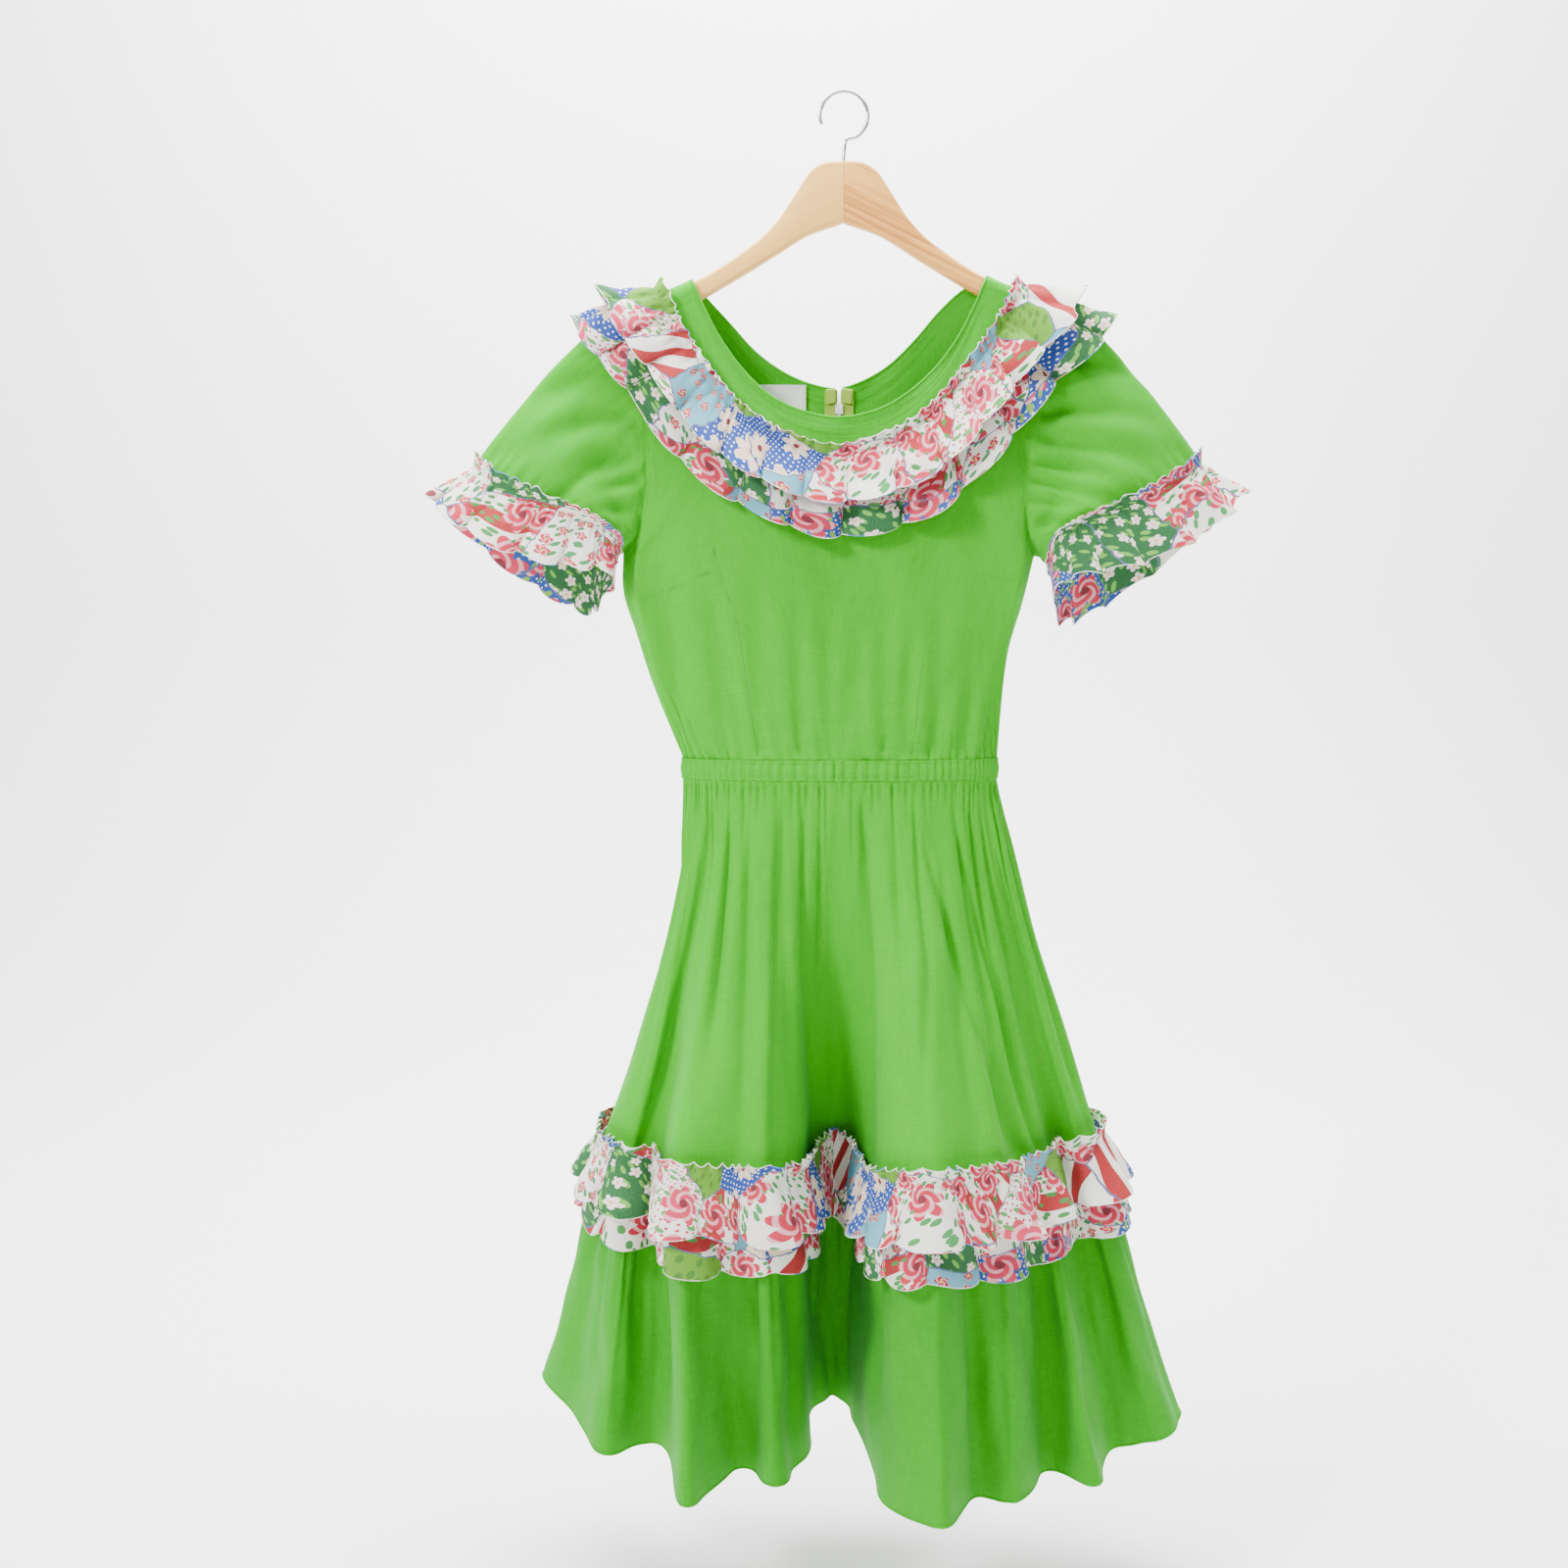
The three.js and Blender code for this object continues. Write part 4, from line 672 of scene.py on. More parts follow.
waist_gathers = uneven_row(110, [18, 30, 55, 110], (1.3, 3.2), (0.0016, 0.003))
flounce_gathers = uneven_row(96, [110, 150, 210, 290], (1.6, 5.0), (0.0019, 0.0038))


def from_seams(u):
    """0 at the side and centre back seams and 1 away from them, so that panels meet there."""
    seams = (FRONT_FROM, FRONT_TO, BACK_CENTRE)
    return np.prod([smooth(np.abs(turn_gap(u, at)) / 0.012) for at in seams], axis=0)


def pleats(rows, place, length, rate, hold, spread):
    """The depth of a table of folds that fade in below their tops and out towards their bottoms."""
    total = 0
    for at, top, bottom, drift, deep, wide in rows:
        share = np.clip((length - top) / (bottom - top), 0, 1)
        run = smooth(share * rate) * smooth((1 - share) * 2.5 + (hold if bottom >= UPPER_SKIRT else 0))
        gap = turn_gap(place, at + drift * share) / (wide * (0.6 + spread * share))
        total = total + deep * run * bell(gap)
    return total


def upper_relief(u, length, seed):
    """The upper skirt's folds, waist gathers and crumple, smooth beside the zip."""
    ring = around_waist(u % 1)
    total = -1.9 * pleats(SKIRT_CREASES, ring, length, 4, 0.15, 0.8)
    total = total - pleats(FRONT_FOLDS, u, length, 3, 0.5, 0.6)
    for at, reach, deep, wide in waist_gathers:
        total = total - deep * smooth(1 - length / reach) * bell(turn_gap(ring, at) / wide)
    rest = 1.5 * smooth(length / 60) * crumple(u * 1700, length * 0.5, 85, seed)
    beside = smooth((np.abs(turn_gap(ring, ZIP_TURN)) - 0.014) / 0.02)
    off_zip = np.maximum(beside, smooth((length - 105) / 40))
    return (total + rest * from_seams(u)) * smooth(length / 5) * off_zip


# The flounce's sharper folds: place round the hem, drift, depth and width.
FLOUNCE_CREASES = [
    (0.083, 0, 6, 0.006), (0.104, 0, 7, 0.007), (0.146, -0.004, 4, 0.005), (0.172, 0, 8, 0.007),
    (0.212, 0.002, 6, 0.006), (0.247, 0, 6, 0.007), (0.308, 0, 5, 0.006), (0.345, 0, 8, 0.006),
    (0.378, -0.003, 4, 0.005), (0.417, 0.003, 9, 0.007), (0.446, 0, 4, 0.005), (0.492, 0.002, 9, 0.009),
    (0.53, 0, 5, 0.006), (0.57, 0, 7, 0.007), (0.605, 0, 5, 0.006), (0.648, 0, 6, 0.007),
    (0.69, 0.003, 7, 0.008), (0.735, -0.002, 6, 0.007), (0.79, 0, 7, 0.008), (0.84, 0.003, 6, 0.007),
    (0.885, 0, 7, 0.008), (0.93, 0, 5, 0.007), (0.972, 0.002, 6, 0.008), (0.025, 0, 5, 0.007),
]


def flounce_relief(u, length, seed):
    """The flounce's folds, the gathers of its upper edge and its crumple."""
    below = length - UPPER_SKIRT
    total = 0
    share = below / (SKIRT_LENGTH - UPPER_SKIRT)
    for at, drift, deep, wide in FLOUNCE_CREASES:
        run = smooth(share * 6 + 0.15) * (1 - 0.45 * smooth((share - 0.55) / 0.45))
        total = total - deep * run * bell(turn_gap(u, at + drift * share) / (wide * (0.7 + 0.5 * share)))
    for at, reach, deep, wide in flounce_gathers:
        open_out = wide * (1 + below / 220)
        total = total - deep * smooth(1.15 - below / reach) * bell(turn_gap(u, at) / open_out)
    rest = 1.9 * crumple(u * 2100, length * 0.6, 75, seed)
    return total * smooth(below / 10 + 0.25) + rest * from_seams(u)


def skirt_panel(name, start, end, lengths, relief, columns, flat, area, colour, seed):
    """One panel of the skirt, from start to end round it. Returns its points."""
    u, length = np.meshgrid(np.linspace(start, end, columns), lengths)
    points = skirt(u, length)
    points = points + skirt_face(u, length) * relief(u, length, seed)[..., None]
    piece = sheet(f"{name}_cloth", points, flat, colour)
    stand_in(piece, name, flat, "gathered", ["waist_casing"], area=area)
    return points


upper_lengths = np.concatenate([np.linspace(0, 40, 13), np.linspace(46, UPPER_SKIRT, 53)])
flounce_lengths = np.concatenate([
    np.linspace(UPPER_SKIRT + SEAM, UPPER_SKIRT + 60, 10), np.linspace(UPPER_SKIRT + 66, SKIRT_LENGTH, 38),
])
for name, start, end, columns, flat, area, seed in (
    ("skirt_front", FRONT_FROM, FRONT_TO, 340, (960, 362), 0.24, 21),
    ("skirt_back_right", FRONT_TO, BACK_CENTRE, 108, (420, 362), 0.1, 22),
    ("skirt_back_left", BACK_CENTRE, 1 + FRONT_FROM, 134, (480, 362), 0.12, 23),
):
    skirt_panel(name, start, end, upper_lengths, upper_relief, columns, flat, area, dress_cotton, seed)
flounces = {
    name: skirt_panel(f"flounce_{name}", start, end, flounce_lengths, flounce_relief, columns, flat, area,
                      flounce_cotton_painted_shade, seed)
    for name, start, end, columns, flat, area, seed in (
        ("front", FRONT_FROM, FRONT_TO, 400, (1500, 293), 0.38, 24),
        ("back", FRONT_TO, 1 + FRONT_FROM, 270, (1150, 293), 0.29, 25),
    )
}

# Sleeves: short and puffed, gathered over the shoulder into the armhole and drawn in at the hem. Strain
# folds fan out from the front of each armhole towards the hem.
sleeve_hems = {
    "left": path([
        (-339, 0, -336), (-320, -24, -350), (-288, -34, -365), (-256, -37, -377), (-226, -37, -388),
        (-207, -33, -400), (-211, -19, -418), (-225, 0, -428), (-234, 18, -424), (-258, 30, -406),
        (-288, 32, -384), (-320, 22, -358),
    ], closed=True),
    "right": path([
        (329, 0, -333), (310, -24, -348), (280, -34, -364), (248, -37, -378), (216, -37, -388),
        (194, -33, -400), (191, -19, -420), (198, 0, -433), (212, 18, -428), (240, 30, -408),
        (272, 32, -384), (308, 22, -356),
    ], closed=True),
}
SLEEVE_SIDES = {"left": -1, "right": 1}


def sleeve(name, turn, along):
    """The sleeve as a tube: turn 0 is the top, 0.25 the front, 0.5 the underarm; along 0 is the armhole."""
    side = SLEEVE_SIDES[name]
    around, along = np.broadcast_arrays(np.asarray(turn, float) % 1, np.asarray(along, float))
    front = around <= 0.5
    share = np.where(front, around * 2, 2 - around * 2)
    root = (armhole_left if name == "left" else armhole_right)(1 - share)
    half = (1 - share) * ARMHOLE_END
    y = depth(root[..., 0], root[..., 1], front) * side_turn(half)
    start = xyz(root[..., 0], np.where(front, -y, y), root[..., 1])
    end = sleeve_hems[name](around)
    reach = np.linalg.norm(end - start, axis=-1)
    nudge = (SEAM + 1.2 * share**2 + np.where(front, 0, 1.4) * share**6) / np.maximum(reach, 1)
    t = mix(nudge, 1, along)
    swell = np.sin(np.pi * np.clip(t, 0, 1)) ** 0.8
    angle = 2 * np.pi * around
    cap = np.maximum(np.cos(angle), 0)
    puff = xyz(side * 0.6 * cap, -np.sin(angle), 0.8 * cap) * (swell * (5 + 3 * cap))[..., None]
    return mix(start, end, t[..., None]) + puff


# Strain folds: turn at the armhole and at the hem, where it starts and ends along, depth and width.
SLEEVE_CREASES = {
    "left": [
        (0.2, 0.08, 0, 0.9, 3.6, 0.018), (0.26, 0.17, 0, 1, 4.2, 0.02), (0.3, 0.25, 0, 0.8, 3.4, 0.016),
        (0.36, 0.31, 0.05, 0.9, 3, 0.018), (0.12, 0.02, 0, 0.7, 2.6, 0.02), (0.7, 0.82, 0, 0.9, 3.4, 0.02),
        (0.8, 0.92, 0, 0.8, 2.8, 0.02), (0.22, 0.22, 0.5, 1.2, 2.2, 0.014), (0.6, 0.68, 0.1, 1, 2.8, 0.02),
    ],
    "right": [
        (0.19, 0.04, 0, 0.8, 3.8, 0.016), (0.23, 0.11, 0, 1, 4.6, 0.018), (0.27, 0.18, 0, 0.9, 4.4, 0.015),
        (0.3, 0.24, 0, 1, 3.6, 0.015), (0.34, 0.3, 0, 0.8, 3.2, 0.016), (0.1, -0.02, 0, 0.6, 2.8, 0.02),
        (0.39, 0.35, 0.1, 1, 2.8, 0.018), (0.72, 0.8, 0, 0.9, 3.4, 0.02), (0.82, 0.93, 0, 0.8, 2.8, 0.02),
    ],
}


def sleeve_relief(name, turn, along):
    """A sleeve's strain folds, the gathers at its cap and hem, and its crumple."""
    total = 0
    for at, end, begin, stop, deep, wide in SLEEVE_CREASES[name]:
        share = np.clip((along - begin) / (stop - begin), 0, 1)
        run = smooth(share * 3 + 0.35) * smooth((1 - share) * 1.6)
        total = total - 2.1 * deep * run * bell(turn_gap(turn, mix(at, end, share)) / (wide * (0.7 + share)))
    cap = smooth((np.cos(2 * np.pi * turn) + 0.5) / 0.8)
    total = total + 3.2 * cap * smooth(1 - along / 0.4) * (ruche(turn, 40, 41) - 0.6)
    total = total + 2.6 * smooth((along - 0.7) / 0.25) * (ruche(turn, 36, 42) - 0.6)
    return total + 1.5 * crumple(turn * 420, along * 90, 55, 43)


def sleeve_tube(name, side):
    """One sleeve, as its own piece."""
    turn, along = np.meshgrid(np.arange(170) / 170, np.linspace(0, 1, 44) ** 1.1)
    points = sleeve(name, turn, along)
    calm = smooth(along / 0.05) * smooth((1 - along) / 0.03 + 0.2)
    points = points + side * facing(points, True) * (sleeve_relief(name, turn, along) * calm)[..., None]
    piece = sheet(f"sleeve_{name}_cloth", points, (430, 165), dress_cotton, closed=True)
    stand_in(piece, f"sleeve_{name}", (430, 165), "gathered", ["bodice_front"], area=0.046)


for sleeve_name, sleeve_side in SLEEVE_SIDES.items():
    sleeve_tube(sleeve_name, sleeve_side)

# Patchwork voile: one printed cloth, thin enough to let light through. The print imitates irregular patches
# about 60 mm across, each with its own small pattern (flowers, leaves, dots, stripes), turned its own way.
# Columns: ground, stripe, dots, leaves, small flowers, large flowers. None leaves that motif out.
PATCH, LARGE_FLOWER, SMALL_FLOWER = 0.062, 0.037, 0.0155
PRINTS = [
    ("#063d9c", None, "#e9f0f8", None, None, "#e3dcb8"),
    ("#f2efe6", None, None, "#2f8a35", None, "#c0092c"),
    ("#f2efe6", "#a80d14", None, None, None, None),
    ("#5f9f06", None, None, "#3f7f06", None, None),
    ("#f2efe6", None, None, "#2b8a48", "#c20f30", None),
    ("#62aabd", None, None, None, "#a81c20", None),
    ("#0a6228", None, None, "#6cb840", "#f3f3ea", None),
    ("#f2efe6", None, None, "#2f9040", None, "#c8143a"),
    ("#0a47a4", None, "#dfe9f2", "#79b03a", None, "#d02048"),
    ("#f2efe6", None, "#c02848", "#4c9c46", None, "#cf2a4c"),
    ("#f2efe6", "#a80d14", None, "#2f8a35", None, "#c8143a"),
]
voile, tree = material("patchwork_printed_voile")
cloth_map = put(tree, "UVMap", uv_map="cloth")
wobble = put(tree, "TexNoise", {"Vector": cloth_map, "Scale": 1 / 0.012, "Detail": 1.0})
shift = put(tree, "VectorMath", {0: wobble.outputs[1], 1: (0.5, 0.5, 0.5)}, operation="SUBTRACT")
nudged = put(tree, "VectorMath", {0: shift, 1: (0.006, 0.006, 0), 2: cloth_map}, operation="MULTIPLY_ADD")
patch_settings = {"Vector": nudged, "Scale": 1 / PATCH, "Randomness": 0.8}
patch = put(tree, "TexVoronoi", patch_settings, voronoi_dimensions="2D")
rim = put(tree, "TexVoronoi", patch_settings, voronoi_dimensions="2D", feature="DISTANCE_TO_EDGE")
chance = put(tree, "SeparateColor", {0: patch.outputs[1]})
angle = put(tree, "Math", {0: chance.outputs[1], 1: 2 * math.pi}, operation="MULTIPLY")
turned = put(tree, "VectorRotate", {"Vector": cloth_map, "Angle": angle}, rotation_type="Z_AXIS")
flowers = []
for cell, petals, size in [(SMALL_FLOWER, 2.5, 0.3), (LARGE_FLOWER, 3.5, 0.43)]:
    placed = put(tree, "TexVoronoi", {"Vector": turned, "Scale": 1 / cell, "Randomness": 0.55},
                 voronoi_dimensions="2D")
    scaled = put(tree, "VectorMath", {0: turned, 1: (1 / cell, 1 / cell, 0)}, operation="MULTIPLY")
    # In Blender the cell's centre is given in the texture's unscaled space.
    middle = put(tree, "VectorMath", {0: placed.outputs[2], 1: (1 / cell, 1 / cell, 0)}, operation="MULTIPLY")
    away = put(tree, "VectorMath", {0: scaled, 1: middle}, operation="SUBTRACT")
    parts = put(tree, "SeparateXYZ", {0: away})
    bearing = put(tree, "Math", {0: parts.outputs[1], 1: parts.outputs[0]}, operation="ARCTAN2")
    lobes = put(tree, "Math", {0: bearing, 1: petals}, operation="MULTIPLY")
    wave = put(tree, "Math", {0: lobes}, operation="COSINE")
    lobe = put(tree, "Math", {0: wave}, operation="ABSOLUTE")
    reach = put(tree, "Math", {0: lobe, 1: size * 0.45, 2: size * 0.55}, operation="MULTIPLY_ADD")
    gone = put(tree, "VectorMath", {0: away}, operation="LENGTH")
    petal = put(tree, "Math", {0: gone.outputs[1], 1: reach}, operation="LESS_THAN")
    heart = put(tree, "Math", {0: gone.outputs[1], 1: size * 0.2}, operation="LESS_THAN")
    twist = put(tree, "Math", {0: bearing, 1: 3.0}, operation="MULTIPLY")
    rings = put(tree, "Math", {0: gone.outputs[1], 1: 34.0, 2: twist}, operation="MULTIPLY_ADD")
    ringed = put(tree, "Math", {0: rings}, operation="SINE")
    shade = put(tree, "MapRange", {0: ringed, 1: 0.1, 2: 0.6, 3: 0.0, 4: 0.75})
    flowers.append((petal, heart, shade))
across = put(tree, "SeparateXYZ", {0: turned})
ribbon = put(tree, "Math", {0: across.outputs[0], 1: 2 * math.pi / 0.027}, operation="MULTIPLY")
swing = put(tree, "Math", {0: ribbon}, operation="SINE")
stripe = put(tree, "Math", {0: swing, 1: 0.15}, operation="GREATER_THAN")
spots = put(tree, "TexVoronoi", {"Vector": turned, "Scale": 1 / 0.0047, "Randomness": 0.15},
            voronoi_dimensions="2D")
dot = put(tree, "Math", {0: spots, 1: 0.2}, operation="LESS_THAN")
slim = put(tree, "Mapping", {"Vector": turned, "Rotation": (0, 0, 0.7), "Scale": (1 / 0.0065, 1 / 0.015, 1)})
sprigs = put(tree, "TexVoronoi", {"Vector": slim, "Scale": 1.0, "Randomness": 0.9}, voronoi_dimensions="2D")
leaf = put(tree, "Math", {0: sprigs, 1: 0.24}, operation="LESS_THAN")
masks = [stripe, dot, leaf, flowers[0][0], flowers[1][0]]
print_colour = None
for column in range(6):
    ramp = put(tree, "ValToRGB", {"Fac": chance.outputs[0]})
    ramp.color_ramp.interpolation = "CONSTANT"
    stops = ramp.color_ramp.elements
    for k, row in enumerate(PRINTS):
        stop = stops[k] if k < 2 else stops.new(k / len(PRINTS))
        stop.position = k / len(PRINTS)
        stop.color = linear(row[column])[:3] + [1] if row[column] else (0, 0, 0, 0)
    if column == 0:
        print_colour = ramp.outputs[0]
        continue
    drawn = put(tree, "Math", {0: masks[column - 1], 1: ramp.outputs[1]}, operation="MULTIPLY")
    ink = ramp.outputs[0]
    if column > 3:
        pale = put(tree, "Mix", {0: flowers[column - 4][2], 6: ink, 7: linear("#f2b9c2")}, data_type="RGBA")
        centre = linear("#e3b93a" if column == 4 else "#7a0c26")
        ink = put(tree, "Mix", {0: flowers[column - 4][1], 6: pale.outputs[2], 7: centre}, data_type="RGBA")
        ink = ink.outputs[2]
    layer = put(tree, "Mix", {0: drawn, 6: print_colour, 7: ink}, data_type="RGBA")
    print_colour = layer.outputs[2]
edge = put(tree, "Math", {0: rim, 1: 0.008}, operation="LESS_THAN")
outline = put(tree, "Mix", {0: edge, 6: print_colour, 7: linear("#55618f")}, data_type="RGBA")
weave = put(tree, "TexNoise", {"Vector": cloth_map, "Scale": 1 / 0.0007, "Detail": 1.0})
dulled = put(tree, "MapRange", {0: weave, 1: 0.3, 2: 0.7, 3: 0.0, 4: 0.07})
worn = put(tree, "Mix", {0: dulled, 6: outline.outputs[2], 7: linear("#f2f2f0")}, data_type="RGBA")
grain = put(tree, "Bump", {"Height": weave, "Strength": 0.15, "Distance": 0.0003})
thin_cloth(tree, worn.outputs[2], grain, 0.14, {"Roughness": 0.8, "Specular IOR Level": 0.2})

# Overlocked edge: the rolled thread along each ruffle's edges, white with stretches of other colours.
edge_thread, tree = material("variegated_edge_thread")
place = put(tree, "TexCoord")
run = put(tree, "TexNoise", {"Vector": place.outputs["Object"], "Scale": 1 / 0.03, "Detail": 0.0})
dyes = put(tree, "ValToRGB", {"Fac": run})
dyes.color_ramp.interpolation = "CONSTANT"
for k, (position, hex_colour) in enumerate([
    (0.0, "#5a86c4"), (0.38, "#f4f2ec"), (0.58, "#8fc07a"), (0.63, "#f4f2ec"), (0.72, "#d98a9a"),
]):
    stop = dyes.color_ramp.elements[k] if k < 2 else dyes.color_ramp.elements.new(position)
    stop.position = position
    stop.color = linear(hex_colour)
twist = put(tree, "TexNoise", {"Vector": place.outputs["Object"], "Scale": 1 / 0.0012, "Detail": 0.0})
relief = put(tree, "Bump", {"Height": twist, "Strength": 0.5, "Distance": 0.0003})
coat = put(tree, "BsdfPrincipled", {"Base Color": dyes.outputs[0], "Roughness": 0.7, "Normal": relief})
put(tree, "OutputMaterial", {"Surface": coat})

# Skirt ruffles: two layers of voile gathered by hand onto one seam, with a frilly heading above the
# stitching. The gathers are small at the seam and join into broad waves that fold over at the edge.
NECK_HEAD, NECK_UPPER, NECK_LOWER = 12, 50, 86
SKIRT_HEAD, SKIRT_UPPER, SKIRT_LOWER = 13, 50, 86
LAYER_STEP = CLOTH + SEAM
EDGE_RADIUS = 0.42
PLAN_STEPS = 720
plan_ring = np.arange(PLAN_STEPS) / PLAN_STEPS
plan_points = skirt(plan_ring, UPPER_SKIRT + 20)


def tube(name, route, radius, colour, sides=6, closed=False, tip=False):
    """A round thread or wire along a line of points, with closed ends."""
    route = np.array(route, float)
    if closed:
        ahead = np.roll(route, -1, axis=0) - np.roll(route, 1, axis=0)
    else:
        ahead = np.gradient(route, axis=0)
    ahead = ahead / np.maximum(np.linalg.norm(ahead, axis=1, keepdims=True), 1e-9)
    side = np.cross(ahead, (0, 0, 1))
    flat = np.linalg.norm(side, axis=1) < 0.2
    side[flat] = np.cross(ahead[flat], (0, 1, 0))
    for k in range(1, len(side)):
        if np.dot(side[k], side[k - 1]) < 0:
            side[k] = -side[k]
    side = side / np.linalg.norm(side, axis=1, keepdims=True)
    over = np.cross(ahead, side)
    angle = 2 * np.pi * np.arange(sides) / sides
    widths = np.full(len(route), float(radius))
    if tip:
        widths[-1] *= 0.45
        widths[-2] *= 0.85
    rim_points = np.cos(angle)[:, None] * side[:, None] + np.sin(angle)[:, None] * over[:, None]
    points = route[:, None] + rim_points * widths[:, None, None]
    count = len(route)
    k, m = np.meshgrid(np.arange(count if closed else count - 1), np.arange(sides), indexing="ij")
    nxt = (k + 1) % count
    quads = np.stack([
        k * sides + m, nxt * sides + m, nxt * sides + (m + 1) % sides, k * sides + (m + 1) % sides,
    ], -1).reshape(-1, 4).tolist()
    if not closed:
        quads.append(list(range(sides)))
        quads.append([(count - 1) * sides + j for j in reversed(range(sides))])
    piece = new_piece(name, points, quads)
    piece.data.validate()
    bpy.ops.object.mode_set(mode="EDIT")
    bpy.ops.mesh.select_all(action="SELECT")
    bpy.ops.mesh.normals_make_consistent(inside=False)
    bpy.ops.object.mode_set(mode="OBJECT")
    return finish_piece(piece, colour)


def room_table():
    """How freely a ruffle can stand off the skirt round its seam: 1 on a crest, less in a tight trough."""
    before, after = np.roll(plan_points, 5, axis=0), np.roll(plan_points, -5, axis=0)
    a, b = (plan_points - before)[:, :2], (after - plan_points)[:, :2]
    la, lb = np.linalg.norm(a, axis=1), np.linalg.norm(b, axis=1)
    bend = (a[:, 0] * b[:, 1] - a[:, 1] * b[:, 0]) / (la * lb)
    radius = (la + lb) / 2 / np.maximum(np.abs(bend), 1e-3)
    raw = np.where(bend < 0, np.minimum(1, 0.3 * radius / 20), 1)
    window = np.stack([np.roll(raw, k) for k in range(-12, 13)])
    return (window.min(0) + window.mean(0)) / 2


room_values = room_table()
plan_steps = np.linalg.norm(np.roll(plan_points, -1, axis=0) - plan_points, axis=1)
marks = np.concatenate([[0], np.cumsum(plan_steps)])
marks = marks / marks[-1]


def skirt_ruffle(s, q, waves, base, tuck, lift, swing, phase, length, seed):
    """A layer of the skirt ruffle: s is the share round the seam, q runs down from the stitching."""
    turn = s % 1
    u = np.interp(turn, marks, np.arange(PLAN_STEPS + 1) / PLAN_STEPS)
    room = np.interp(u, np.arange(PLAN_STEPS + 1) / PLAN_STEPS, np.append(room_values, room_values[0]))
    bent = 2 * np.pi * waves * turn + phase + 0.8 * np.sin(2 * np.pi * 5 * turn)
    wave = np.cos(bent)
    down, up = np.maximum(q, 0) / length, np.maximum(-q, 0) / SKIRT_HEAD
    stand = base - tuck * (1 - room) + room * (lift * down + 3.5 * up)
    # Small gathers: sharp at the seam and in the heading, gone three quarters of the way down.
    small = ruche(turn, waves * 3.6, seed) - 0.5
    frill = ruche(turn, waves * 3.7, seed + 1) - 0.5
    out = stand + room * (swing * down + 2.6 * up) * (0.5 + 0.5 * wave)
    out = out + room * (3.4 * small * smooth(1 - down / 0.75) * smooth(down / 0.05) + 6.5 * frill * up)
    out = out + room * 2.0 * down * crumple(turn * 1500, q, 38, seed + 2)
    over = (8.0 * smooth(down) + 3.0 * up) * np.sin(bent + 0.5) * room
    place = UPPER_SKIRT + q + 3 * room * down * wave + 5.0 * up * frill
    points = skirt(u, place) + skirt_face(u, UPPER_SKIRT + q) * out[..., None]
    along = skirt(u + 1e-3, place) - skirt(u - 1e-3, place)
    along = along / np.linalg.norm(along, axis=-1, keepdims=True)
    return points + along * over[..., None]


def edge_rows(points, name, closed):
    """The overlocked thread along a ruffle's cut edges."""
    for row, label in ((0, "top"), (-1, "bottom")):
        tube(f"{name}_{label}_edge", points[row], EDGE_RADIUS, edge_thread, sides=5,
             closed=closed)


def layer_rows(head, length, count):
    """Rows of a ruffle, from its heading's top to its edge, closer near the stitching."""
    above = np.linspace(-head, 0, 7)[:-1] if head else np.array([])
    return np.concatenate([above, length * np.linspace(0, 1, count) ** 1.15])


for name, columns, head, length, flat, start, seed, shape in [
    ("skirt_ruffle_lower", 780, 0, SKIRT_LOWER, (2000, 88), 0.0, 51,
     {"waves": 30, "base": LAYER_STEP + 2.4, "tuck": 0.0, "lift": 3, "swing": 7, "phase": 1}),
    ("skirt_ruffle_upper", 1000, SKIRT_HEAD, SKIRT_UPPER, (2140, 63), 0.71, 55,
     {"waves": 34, "base": 2 * LAYER_STEP + 4, "tuck": 0.4, "lift": 8, "swing": 12, "phase": 0}),
]:
    s, q = np.meshgrid(np.arange(columns) / columns, layer_rows(head, length, 17))
    points = skirt_ruffle(s, q, length=length, seed=seed, **shape)
    piece = sheet(f"{name}_cloth", points, flat, voile, closed=True, shell=VOILE_SHELL,
                  start=start)
    stand_in(piece, name, flat, "gathered", ["flounce_front"])
    edge_rows(points, name, True)

# Neck ruffles: the same two layers round the neck, parted at the zip, fuller and more folded over.
RUFFLE_FRONT = [
    (-167, -188, -236, -222), (-155, -212, -217, -243), (-134, -243, -190, -277), (-113, -272, -150, -330),
    (-88, -295, -108, -363), (-55, -314, -66, -384), (-12, -327, -20, -399), (36, -317, 34, -395),
    (76, -294, 84, -377), (101, -268, 124, -342), (124, -239, 158, -304), (144, -211, 192, -262),
    (160, -185, 236, -222),
]
RUFFLE_LEFT = [
    (-4, -291, -4, -377), (-30, -287, -44, -372), (-60, -276, -88, -354), (-90, -256, -130, -324),
    (-118, -231, -168, -288), (-142, -207, -204, -252), (-167, -188, -236, -222),
]
RUFFLE_RIGHT = [
    (-4, -291, -4, -377), (24, -286, 38, -371), (54, -272, 82, -352), (84, -250, 124, -321),
    (110, -226, 164, -284), (136, -203, 202, -248), (160, -185, 236, -222),
]
ruffle_lines = [
    (path([row[:2] for row in table]), path([row[2:] for row in table]))
    for table in (RUFFLE_LEFT, RUFFLE_FRONT, RUFFLE_RIGHT)
]
LEFT_BACK, LEFT_FRONT, RIGHT_FRONT, RIGHT_BACK = 0.215, 0.257, 0.743, 0.785


